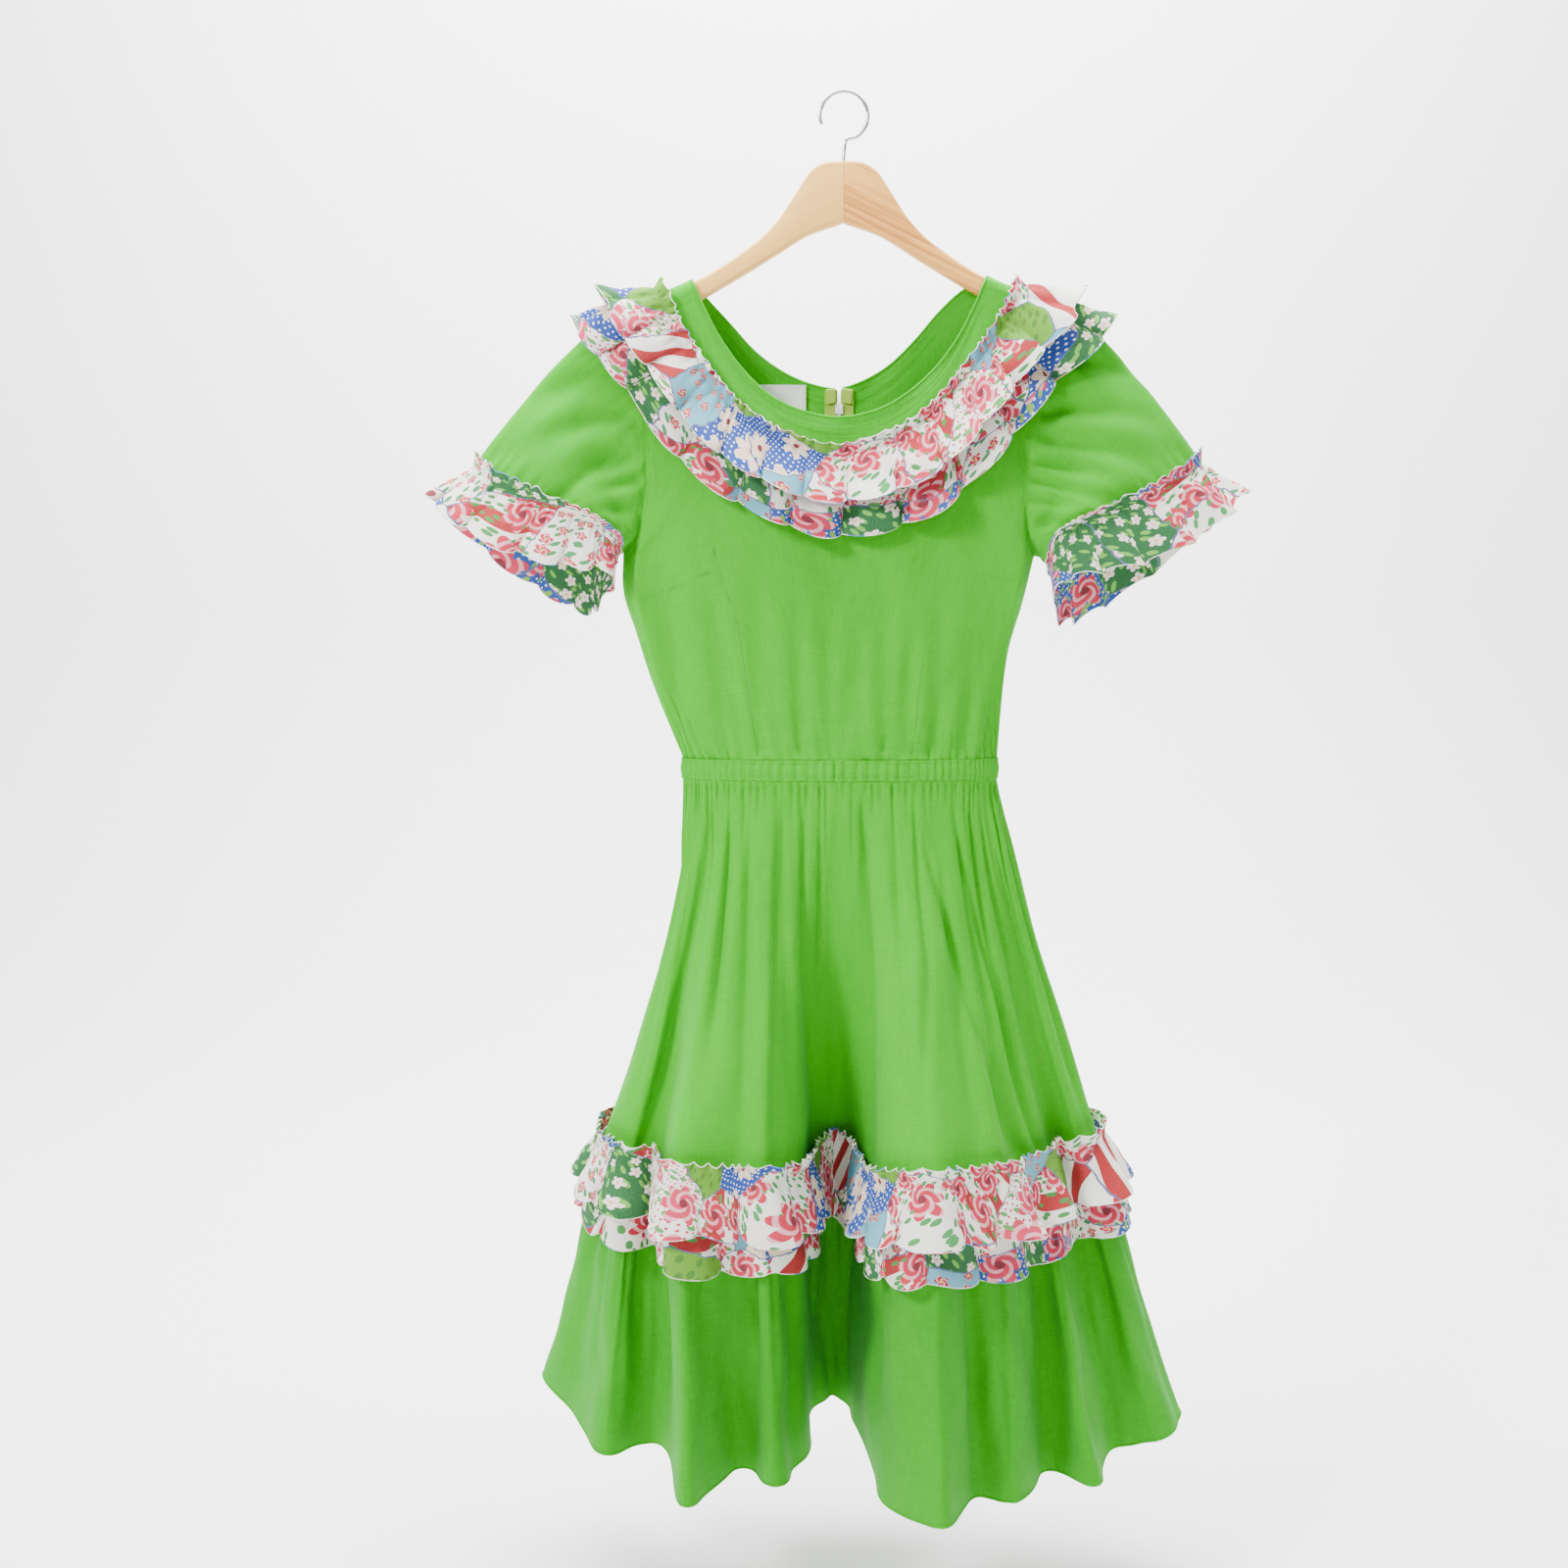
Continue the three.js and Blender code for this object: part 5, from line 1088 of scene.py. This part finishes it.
def neck_bed(a, r, out):
    """A point over the bodice: a goes round the neck from the centre back by the left shoulder."""
    a, r, out = np.broadcast_arrays(a, r, out)
    share = (r / NECK_LOWER)[..., None]
    spots = []
    for (stitch, edge), t, front in zip(
        ruffle_lines,
        (a / LEFT_BACK, (a - LEFT_FRONT) / (RIGHT_FRONT - LEFT_FRONT), (1 - a) / (1 - RIGHT_BACK)),
        (False, True, False),
    ):
        flat = mix(stitch(t), edge(t), share)
        y = depth(flat[..., 0], flat[..., 1], front) + out
        spots.append(xyz(flat[..., 0], -y if front else y, flat[..., 1]))
    left = a < 0.5
    back, front = np.where(left, LEFT_BACK, RIGHT_BACK), np.where(left, LEFT_FRONT, RIGHT_FRONT)
    angle = mix(np.pi / 2, -np.pi / 2, (a - back) / (front - back))
    stitch, edge = ruffle_lines[1]
    flat = mix(stitch(np.where(left, 0, 1)), edge(np.where(left, 0, 1)), share)
    reach = (SHOULDER_RADIUS + out) * np.cos(angle)
    over = xyz(flat[..., 0] + np.where(left, -1, 1) * 0.42 * reach, (SHOULDER_RADIUS + out) * np.sin(angle),
               flat[..., 1] + 0.91 * reach)
    result = np.where((a < LEFT_BACK)[..., None], spots[0], over)
    result = np.where(((a >= LEFT_FRONT) & (a <= RIGHT_FRONT))[..., None], spots[1], result)
    return np.where((a > RIGHT_BACK)[..., None], spots[2], result)


def neck_ruffle(a, r, waves, base, lift, swing, phase, length, seed):
    """A layer of the neck ruffle: a goes round the neck, r runs down from the stitching."""
    bent = 2 * np.pi * waves * a + phase + 0.9 * np.sin(2 * np.pi * 4 * a)
    wave = np.cos(bent)
    down, up = np.maximum(r, 0) / length, np.maximum(-r, 0) / NECK_HEAD
    small, frill = ruche(a, waves * 3.4, seed) - 0.5, ruche(a, waves * 3.1, seed + 1) - 0.5
    out = base + lift * down + 3 * up + (swing * down + 2.6 * up) * (0.5 + 0.5 * wave)
    out = out + 3.2 * small * smooth(1 - down / 0.75) * smooth(down / 0.05) + 6.0 * frill * up
    out = out + 1.7 * down * crumple(a * 1300, r, 34, seed + 2)
    points = neck_bed(a, r + 3 * down * wave + 4.5 * up * frill, np.maximum(out, base - 0.6))
    along = neck_bed(a + 1e-3, r, base) - neck_bed(a - 1e-3, r, base)
    along = along / np.linalg.norm(along, axis=-1, keepdims=True)
    ends = smooth((a - 0.012) / 0.02) * smooth((0.988 - a) / 0.02)
    return points + along * (ends * (8.0 * smooth(down) + 2.5 * up) * np.sin(bent + 0.5))[..., None]


for name, columns, head, length, flat, start, seed, shape in [
    ("neck_ruffle_lower", 560, 0, NECK_LOWER, (1180, 88), 0.33, 61,
     {"waves": 22, "base": LAYER_STEP + 1.1, "lift": 7, "swing": 9, "phase": 0.6}),
    ("neck_ruffle_upper", 700, NECK_HEAD, NECK_UPPER, (1220, 62), 0.94, 65,
     {"waves": 26, "base": 2 * LAYER_STEP + 2.2, "lift": 13, "swing": 11, "phase": 0}),
]:
    a, r = np.meshgrid(np.linspace(0.0105, 0.9905, columns), layer_rows(head, length, 17))
    points = neck_ruffle(a, r, length=length, seed=seed, **shape)
    piece = sheet(f"{name}_cloth", points, flat, voile, shell=VOILE_SHELL, start=start)
    stand_in(piece, name, flat, "gathered", ["bodice_front"])
    edge_rows(points, name, False)

# Sleeve ruffles: one layer of the voile at each sleeve's hem, with a heading that stands up over it.
FRILL_WAVES, FRILL_HEAD, FRILL_LENGTH = 12, 12, 56


def sleeve_frill(name, turn, q, seed):
    """A sleeve's ruffle: turn goes round the hem, q runs down from the stitching."""
    side = SLEEVE_SIDES[name]
    angle = 2 * np.pi * turn
    under = (1 - np.cos(angle)) / 2
    hem = sleeve(name, turn, 1)
    around = sleeve(name, turn + 2e-4, 0.97) - sleeve(name, turn - 2e-4, 0.97)
    out = side * np.cross(around, sleeve(name, turn, 0.9702) - sleeve(name, turn, 0.9698))
    out = out / np.linalg.norm(out, axis=-1, keepdims=True)
    bent = 2 * np.pi * FRILL_WAVES * turn + 0.7 * np.sin(3 * angle)
    wave = np.cos(bent)
    calm = 1 - 0.55 * under**4
    down, up = np.maximum(q, 0) / FRILL_LENGTH, np.maximum(-q, 0) / FRILL_HEAD
    fall_x = side * mix(0.76, 0.2, under**0.7)
    fall = xyz(fall_x, -0.12 * np.sin(angle), -np.sqrt(1 - fall_x**2))
    fall = fall / np.linalg.norm(fall, axis=-1, keepdims=True)
    back = sleeve(name, turn, 0.9) - hem
    back = back / np.linalg.norm(back, axis=-1, keepdims=True)
    drop = 0.8 + 0.16 * np.abs(np.sin(angle)) - (0.42 if side < 0 else 0.24) * under**2
    small, frill = ruche(turn, 44, seed) - 0.5, ruche(turn, 38, seed + 1) - 0.5
    stand = LAYER_STEP + 0.5 + calm * (4 * down + 3 * up + (8 * down + 2.4 * up) * (0.5 + 0.5 * wave))
    stand = stand + calm * (3.2 * small * smooth(1 - down / 0.75) * smooth(down / 0.05) + 5.5 * frill * up)
    along = np.cross(out, fall)
    sway = 6.5 * calm * smooth(down) * np.sin(bent + 0.5)
    return (
        hem + fall * (np.maximum(q, 0) * drop + 2.5 * down * wave)[..., None]
        + back * ((np.maximum(-q, 0) + 5 * up * frill) * (1 - 0.8 * under**4))[..., None]
        + out * stand[..., None] + along * sway[..., None]
    )


for name, seed in (("left", 71), ("right", 75)):
    turn, q = np.meshgrid(np.arange(360) / 360, layer_rows(FRILL_HEAD, FRILL_LENGTH, 14))
    points = sleeve_frill(name, turn, q, seed)
    piece = sheet(f"sleeve_ruffle_{name}_cloth", points, (440, 68), voile, closed=True,
                  shell=VOILE_SHELL, start=seed * 0.037)
    stand_in(piece, f"sleeve_ruffle_{name}", (440, 68), "gathered", [f"sleeve_{name}"])
    edge_rows(points, f"sleeve_ruffle_{name}", True)

# Seams and sewing: the joins of the green cotton, the turned neck edge and hem, and the rows of stitches.
def fine_stuff(name, grain, detail, light, dark, rough, relief=0, height=0, by_uv=False):
    """A thread or close weave: two close tones mixed by a noise of the size grain, and its relief."""
    made, tree = material(name)
    if by_uv:
        place = put(tree, "UVMap", uv_map="cloth").outputs[0]
    else:
        place = put(tree, "TexCoord").outputs["Object"]
    drawn = put(tree, "Mapping", {"Vector": place, "Scale": tuple(1 / size for size in grain)})
    ply = put(tree, "TexNoise", {"Vector": drawn, "Scale": 1.0, "Detail": detail})
    tint = put(tree, "Mix", {0: ply, 6: linear(light), 7: linear(dark)}, data_type="RGBA")
    coat = put(tree, "BsdfPrincipled", {"Base Color": tint.outputs[2], "Roughness": rough})
    if relief:
        bump = put(tree, "Bump", {"Height": ply, "Strength": relief, "Distance": height})
        tree.links.new(bump.outputs[0], coat.inputs["Normal"])
    put(tree, "OutputMaterial", {"Surface": coat})
    return made


seam_thread = fine_stuff("green_sewing_thread", (0.0009, 0.0009, 0.0009), 0.0, "#2f7d1c", "#3f9428", 0.6)


# The radii of the turned edges and seams that stand up from the cloth.
NECK_ROLL, ARMHOLE_ROLL, SHOULDER_ROLL, HEM_ROLL = 1.15, 0.75, 0.7, 1.2


def stitches(name, route, long, pitch, radius, colour, closed=False):
    """A row of short stitches, sunk at their ends, along a line of points."""
    route = np.array(route, float)
    if closed:
        route = np.vstack([route, route[:1]])
    run = np.concatenate([[0], np.cumsum(np.linalg.norm(np.diff(route, axis=0), axis=1))])
    count = max(int(run[-1] / pitch), 1)
    starts = (np.arange(count) + 0.2) * run[-1] / count
    ends = [np.stack([np.interp(at, run, route[:, k]) for k in range(3)], -1)
            for at in (starts, np.minimum(starts + long, run[-1]))]
    ahead = ends[1] - ends[0]
    ahead = ahead / np.maximum(np.linalg.norm(ahead, axis=1, keepdims=True), 1e-9)
    side = np.cross(ahead, (0.3, 1, 0.2))
    side = side / np.linalg.norm(side, axis=1, keepdims=True)
    over = np.cross(ahead, side)
    middle = (ends[0] + ends[1]) / 2
    verts = np.stack([
        ends[0], ends[1], middle + side * radius, middle + over * radius, middle - side * radius,
        middle - over * radius,
    ], 1).reshape(-1, 3)
    faces = []
    for k in range(count):
        base = 6 * k
        for m in range(4):
            a, b = base + 2 + m, base + 2 + (m + 1) % 4
            faces += [(base, b, a), (base + 1, a, b)]
    return finish_piece(new_piece(name, verts, faces), colour)


for panel_name, (grid, half) in panels.items():
    neck_line = grid[-1, half >= SHOULDER_END]
    edge_name = "neck_edge_" + panel_name.replace("back_", "")
    tube(edge_name, neck_line, NECK_ROLL, dress_cotton, sides=8)
neck_row = (front_panel + facing(front_panel, False) * 0.45)[-6, front_half >= SHOULDER_END + 0.01]
stitches("neck_stitches_front", neck_row, 2.2, 2.9, 0.28, seam_thread)
for side_name, middle in (("left", 0.0), ("right", 0.5)):
    ring_u = middle + np.linspace(-ARMHOLE_END / 2, ARMHOLE_END / 2, 120)
    tube(f"armhole_seam_{side_name}", bodice(ring_u, 1.0), ARMHOLE_ROLL, dress_cotton)
for side_name, span in (("left", (0.1205, 0.1695)), ("right", (0.3305, 0.3795))):
    seam_line = bodice(np.linspace(*span, 20), 1.0)
    seam_line[:, 1] = 0
    tube(f"shoulder_seam_{side_name}", seam_line, SHOULDER_ROLL, dress_cotton)
front_x, front_y, front_z = front_panel.reshape(-1, 3).T
for k, line in enumerate(DARTS):
    spots = path(line)(np.linspace(0, 1, 26))
    near = [front_y[np.argmin((front_x - x) ** 2 + (front_z - z) ** 2)] for x, z in spots]
    depths = np.convolve(np.pad(near, 3, mode="edge"), np.ones(7) / 7, mode="valid")
    tube(f"dart_seam_{k + 1}", xyz(spots[:, 0], depths - 0.45, spots[:, 1]), 0.3, seam_thread)
for row, index in (("upper", 10), ("lower", 2)):
    stitches(f"casing_stitches_{row}", casing_grid[index], 2.0, 2.7, 0.26, seam_thread)
hem_line = np.vstack([flounces["front"][-1], flounces["back"][-1][1:-1]])
tube("hem_roll", hem_line, HEM_ROLL, flounce_cotton_painted_shade, sides=8, closed=True)
for part, grid in flounces.items():
    hem_row = (grid + facing(grid, False) * 0.5)[-3]
    stitches(f"hem_stitches_{part}", hem_row, 2.4, 3.2, 0.3, seam_thread)

# Neck label: a small satin label, blank, sewn inside the back neck by a row of stitches round its edge.
LABEL_X, LABEL_TOP, LABEL_SIZE = -57, -257, (46, 32)
satin = fine_stuff("white_satin_label", (0.02, 0.02, 0.0008), 1.0, "#eeede6", "#fbfaf5", 0.38, 0.2, 0.0002)
label_lift = CLOTH / 2 + SEAM + 0.5 + 1.32


def on_label(s, t, off=0.0):
    """A point of the label: s and t run from 0 to 1 across and down; off is towards the front."""
    x, z = LABEL_X + (s - 0.5) * LABEL_SIZE[0], LABEL_TOP - t * LABEL_SIZE[1]
    curl = 0.9 * (np.abs(2 * s - 1) ** 4) * (1 - t) + 0.35 * np.sin(2 * np.pi * (1.4 * s + 0.6 * t))
    return xyz(x, depth(x, z, False) - label_lift - 0.4 + 0.5 * curl - off, z)


s, t = np.meshgrid(np.linspace(0, 1, 34), np.linspace(0, 1, 24))
label = sheet("neck_label_cloth", on_label(s, t), LABEL_SIZE, satin, shell=LABEL_SHELL)
stand_in(label, "neck_label", LABEL_SIZE, "laid", ["bodice_back_left"])
INSET_S, INSET_T = 0.05, 0.07
along_s, along_t = np.linspace(INSET_S, 1 - INSET_S, 30), np.linspace(INSET_T, 1 - INSET_T, 20)
border_s = np.concatenate([along_s, np.full(20, 1 - INSET_S), along_s[::-1], np.full(20, INSET_S)])
border_t = np.concatenate([np.full(30, INSET_T), along_t, np.full(30, 1 - INSET_T), along_t[::-1]])
border = on_label(border_s, border_t, 0.35)
stitches("label_stitches", border, 1.7, 2.3, 0.22, seam_thread, closed=True)

# Zip: two woven tapes behind the centre back edges, small metal teeth closed up to the slider, and the
# tapes' yellow-green ends folded down at the neck. Slider and pull are the CAD's own solids, in steel.
ZIP_LENGTH, ZIP_TAPE, ZIP_GAP, SLIDER_DROP = 455, 12, 1.4, 17
tape_cloth = fine_stuff("woven_zip_tape", (0.0012, 0.0007, 1), 1.0, "#8fae2e", "#a4c43a", 0.75, 0.4, 0.0003,
                        by_uv=True)
steel, tree = material("bright_worn_steel")
place = put(tree, "TexCoord")
wear = put(tree, "TexNoise", {"Vector": place.outputs["Object"], "Scale": 1 / 0.004, "Detail": 3.0})
gloss = put(tree, "MapRange", {0: wear, 1: 0.3, 2: 0.7, 3: 0.2, 4: 0.36})
coat = put(tree, "BsdfPrincipled", {"Base Color": linear("#c9cacc"), "Metallic": 1.0, "Roughness": gloss})
put(tree, "OutputMaterial", {"Surface": coat})


def centre_back(z):
    """Where the cloth at the centre back lies at height z, from the neck edge down into the skirt."""
    z = np.asarray(z, float)
    above = bodice(ZIP_TURN, (z - WAIST_TOP) / (NECK_BACK_Z - WAIST_TOP))[..., 1]
    below = skirt(BACK_CENTRE, np.maximum(WAIST_BOTTOM - z, 0))[..., 1]
    return np.where(z > WAIST_TOP, above, np.where(z > WAIST_BOTTOM, WAIST_BACK, below))


tape_off = CLOTH / 2 + SEAM + 0.5 + 0.25
for side_name, side in (("left", -1), ("right", 1)):
    across, down = np.meshgrid(np.linspace(0, 1, 7), np.linspace(0, 1, 120))
    z = NECK_BACK_Z - 1 - ZIP_LENGTH * down
    points = xyz(ZIP_X + side * (ZIP_GAP + across * ZIP_TAPE), centre_back(z) - tape_off, z)
    tape = sheet(f"zip_tape_{side_name}_cloth", points, (ZIP_TAPE, ZIP_LENGTH), tape_cloth)
    stand_in(tape, f"zip_tape_{side_name}", (ZIP_TAPE, ZIP_LENGTH), "hung", [f"bodice_back_{side_name}"])
    # The tape's top end, folded down and out over itself at the neck edge.
    fold, wide = np.meshgrid(np.linspace(0, 1, 22), np.linspace(0, 1, 9))
    turn = np.pi * np.clip((fold - 0.4) / 0.2, 0, 1)
    climb = np.where(fold < 0.4, fold / 0.4 * 12, np.where(fold > 0.6, (1 - fold) / 0.4 * 12, 12))
    z = NECK_BACK_Z - 13 + climb
    lift = 1.3 * (1 - np.cos(turn)) / 2
    points = xyz(ZIP_X + side * (3.5 + wide * (10 - 2.5 * fold)), centre_back(z) - tape_off - 0.9 - lift,
                 z + 1.2 * np.sin(turn) - 1.5 * wide)
    sheet(f"zip_tape_end_{side_name}", points, (26, 9), tape_cloth, shell=0.5)
    # Topstitching that holds the tape to the turned edge of the back panel, through to the outside.
    line_z = np.linspace(NECK_BACK_Z - 6, WAIST_TOP + 6.5, 200)
    line = xyz(ZIP_X + side * 7.5, centre_back(line_z) + SHELL * 0.6, line_z)
    stitches(f"zip_stitches_{side_name}", line, 2.2, 2.9, 0.3, seam_thread)

# Each tooth is a small block, wider at its middle than at its ends, half a pitch below its neighbour.
TOOTH_PITCH, TOOTH_WIDE, TOOTH_HIGH, TOOTH_DEEP = 1.5, 1.15, 0.42, 0.75
teeth_verts, teeth_faces = [], []
slider_z = NECK_BACK_Z - SLIDER_DROP
for k in range(int((ZIP_LENGTH - 8) / TOOTH_PITCH)):
    for side in (-1, 1):
        z = NECK_BACK_Z - 4 - TOOTH_PITCH * k - (TOOTH_PITCH / 2 if side > 0 else 0)
        parted = 0.9 * float(smooth((z - slider_z) / 12.0))
        x = ZIP_X + side * (0.25 + parted)
        y = float(centre_back(z)) - tape_off
        at = len(teeth_verts)
        for dy, grow in ((-TOOTH_DEEP, 0.8), (0, 1.0), (TOOTH_DEEP, 0.8)):
            for dx, dz in ((-1, -1), (1, -1), (1, 1), (-1, 1)):
                teeth_verts.append((x + dx * TOOTH_WIDE * grow, y + dy, z + dz * TOOTH_HIGH * grow))
        teeth_faces += [(at + 3, at + 2, at + 1, at), (at + 8, at + 9, at + 10, at + 11)]
        for level in (0, 4):
            for m in range(4):
                a, b = at + level + m, at + level + (m + 1) % 4
                teeth_faces.append((a, b, b + 4, a + 4))
finish_piece(new_piece("zip_teeth", teeth_verts, teeth_faces), steel)
for node_name in ("zip_slider", "zip_pull"):
    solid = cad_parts[node_name]
    solid.data.materials.clear()
    solid.data.materials.append(steel)
    rounding = solid.modifiers.new("rounding", "BEVEL")
    rounding.width = 0.25 * MM
    rounding.segments = 2
    rounding.limit_method = "ANGLE"

# Hanger: two smoothly turned halves of pale wood that meet at the centre, and a steel wire hook.
WOOD_TOP = [(0, -60), (18, -61.5), (30, -69), (42, -86), (58, -110), (74, -127), (94, -142), (114, -155)]
WOOD_BOTTOM = [(0, -115), (34, -127), (62, -144), (90, -161), (127, -182), (178, -208), (195, -217)]
wood_top = graph(WOOD_TOP + [(x, float(top_line(x)) - 2.3) for x in (126, 139, 160, 180, 198)])
wood_bottom = graph(WOOD_BOTTOM)
# The arm's length, thickness and edge radius, the length over which its end closes, and points a section.
WOOD_END, WOOD_THICK, WOOD_EDGE, WOOD_CLOSE, WOOD_SIDES = 204, 12, 4.5, 6, 28


def pale_wood(name, light, dark, slope, strength):
    """Pale hardwood, its grain along the arm: slope is the arm's angle, strength how much the grain shows."""
    made, tree = material(name)
    place = put(tree, "TexCoord")
    along = put(tree, "VectorRotate", {"Vector": place.outputs["Object"], "Angle": slope},
                rotation_type="Y_AXIS")
    drawn = put(tree, "Mapping", {"Vector": along, "Scale": (1 / 0.22, 1 / 0.02, 1 / 0.006)})
    rings = put(tree, "TexNoise", {"Vector": drawn, "Scale": 1.0, "Detail": 3.0, "Distortion": 0.6})
    bands = put(tree, "MapRange", {0: rings, 1: 0.42, 2: 0.62, 3: 0.0, 4: strength})
    hair = put(tree, "Mapping", {"Vector": along, "Scale": (1 / 0.03, 1 / 0.0008, 1 / 0.0006)})
    pores = put(tree, "TexNoise", {"Vector": hair, "Scale": 1.0, "Detail": 1.0})
    tint = put(tree, "Mix", {0: bands, 6: linear(light), 7: linear(dark)}, data_type="RGBA")
    bump = put(tree, "Bump", {"Height": pores, "Strength": 0.12, "Distance": 0.0002})
    rough = put(tree, "MapRange", {0: pores, 3: 0.42, 4: 0.55})
    coat = put(tree, "BsdfPrincipled", {"Base Color": tint.outputs[2], "Roughness": rough, "Normal": bump})
    put(tree, "OutputMaterial", {"Surface": coat})
    return made


def hanger_half(name, side, wood):
    """One arm, lofted through rounded sections that stand across it and close at its outer end."""
    near = np.array([SEAM / 2, 0.5, 1.2])
    round_from = WOOD_END - WOOD_CLOSE
    last = round_from + WOOD_CLOSE * np.sin(np.linspace(0, np.pi / 2, 12))
    xs = np.concatenate([near, np.linspace(2, round_from, 110)[:-1], last])
    rim_points = []
    for x in xs:
        top, bottom = float(wood_top(min(x, 198))), float(wood_bottom(x))
        close = 1.0
        if x > round_from:
            close = math.sqrt(max(1 - ((x - round_from) / WOOD_CLOSE) ** 2, 0.0004))
        if x < 1.2:
            close = 0.985 + 0.015 * (x - SEAM / 2) / 1.05
        middle = (top + bottom) / 2
        height = (top - bottom) * (0.35 + 0.65 * close if close < 0.98 else close)
        width = WOOD_THICK * close
        radius = min(WOOD_EDGE * close, height / 2 * 0.98, width / 2 * 0.98)
        for cy, cz, turn in ((1, 1, 0), (-1, 1, 1), (-1, -1, 2), (1, -1, 3)):
            for angle in np.linspace(turn, turn + 1, 8)[:-1] * np.pi / 2:
                rim_points.append((side * x, cy * (width / 2 - radius) + radius * math.cos(angle),
                                   middle + cz * (height / 2 - radius) + radius * math.sin(angle)))
    faces = []
    for k in range(len(xs) - 1):
        for m in range(WOOD_SIDES):
            a, b = k * WOOD_SIDES + m, k * WOOD_SIDES + (m + 1) % WOOD_SIDES
            c, d = b + WOOD_SIDES, a + WOOD_SIDES
            faces.append((a, b, c, d) if side > 0 else (a, d, c, b))
    end = np.arange(WOOD_SIDES)
    faces.append(end[::-side].tolist())
    faces.append((end + (len(xs) - 1) * WOOD_SIDES)[::side].tolist())
    return finish_piece(new_piece(name, rim_points, faces), wood)


plain_wood = pale_wood("pale_plain_wood", "#fdc465", "#f3a844", 0.5, 0.35)
lined_wood = pale_wood("pale_grained_wood", "#f8b555", "#c47422", -0.45, 0.8)
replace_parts(hanger_half("hanger_half_left", -1, plain_wood), "hanger_left")
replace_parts(hanger_half("hanger_half_right", 1, lined_wood), "hanger_right")
HOOK_RADIUS, WIRE = 21.7, 1.7
hook_centre = -HOOK_RADIUS + WIRE
stem = [(0, -73.4), (0, -64), (0, -56), (2.5, hook_centre - HOOK_RADIUS + 0.6)]
bend = [(HOOK_RADIUS * math.cos(a), hook_centre + HOOK_RADIUS * math.sin(a))
        for a in np.linspace(-0.33 * np.pi, 1.12 * np.pi, 15)]
wire_line = path(stem + bend)(np.linspace(0, 1, 150))
wire_line = xyz(wire_line[:, 0], 0, wire_line[:, 1])
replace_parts(tube("hook_wire", wire_line, WIRE, steel, sides=20, tip=True), "hanger_hook")
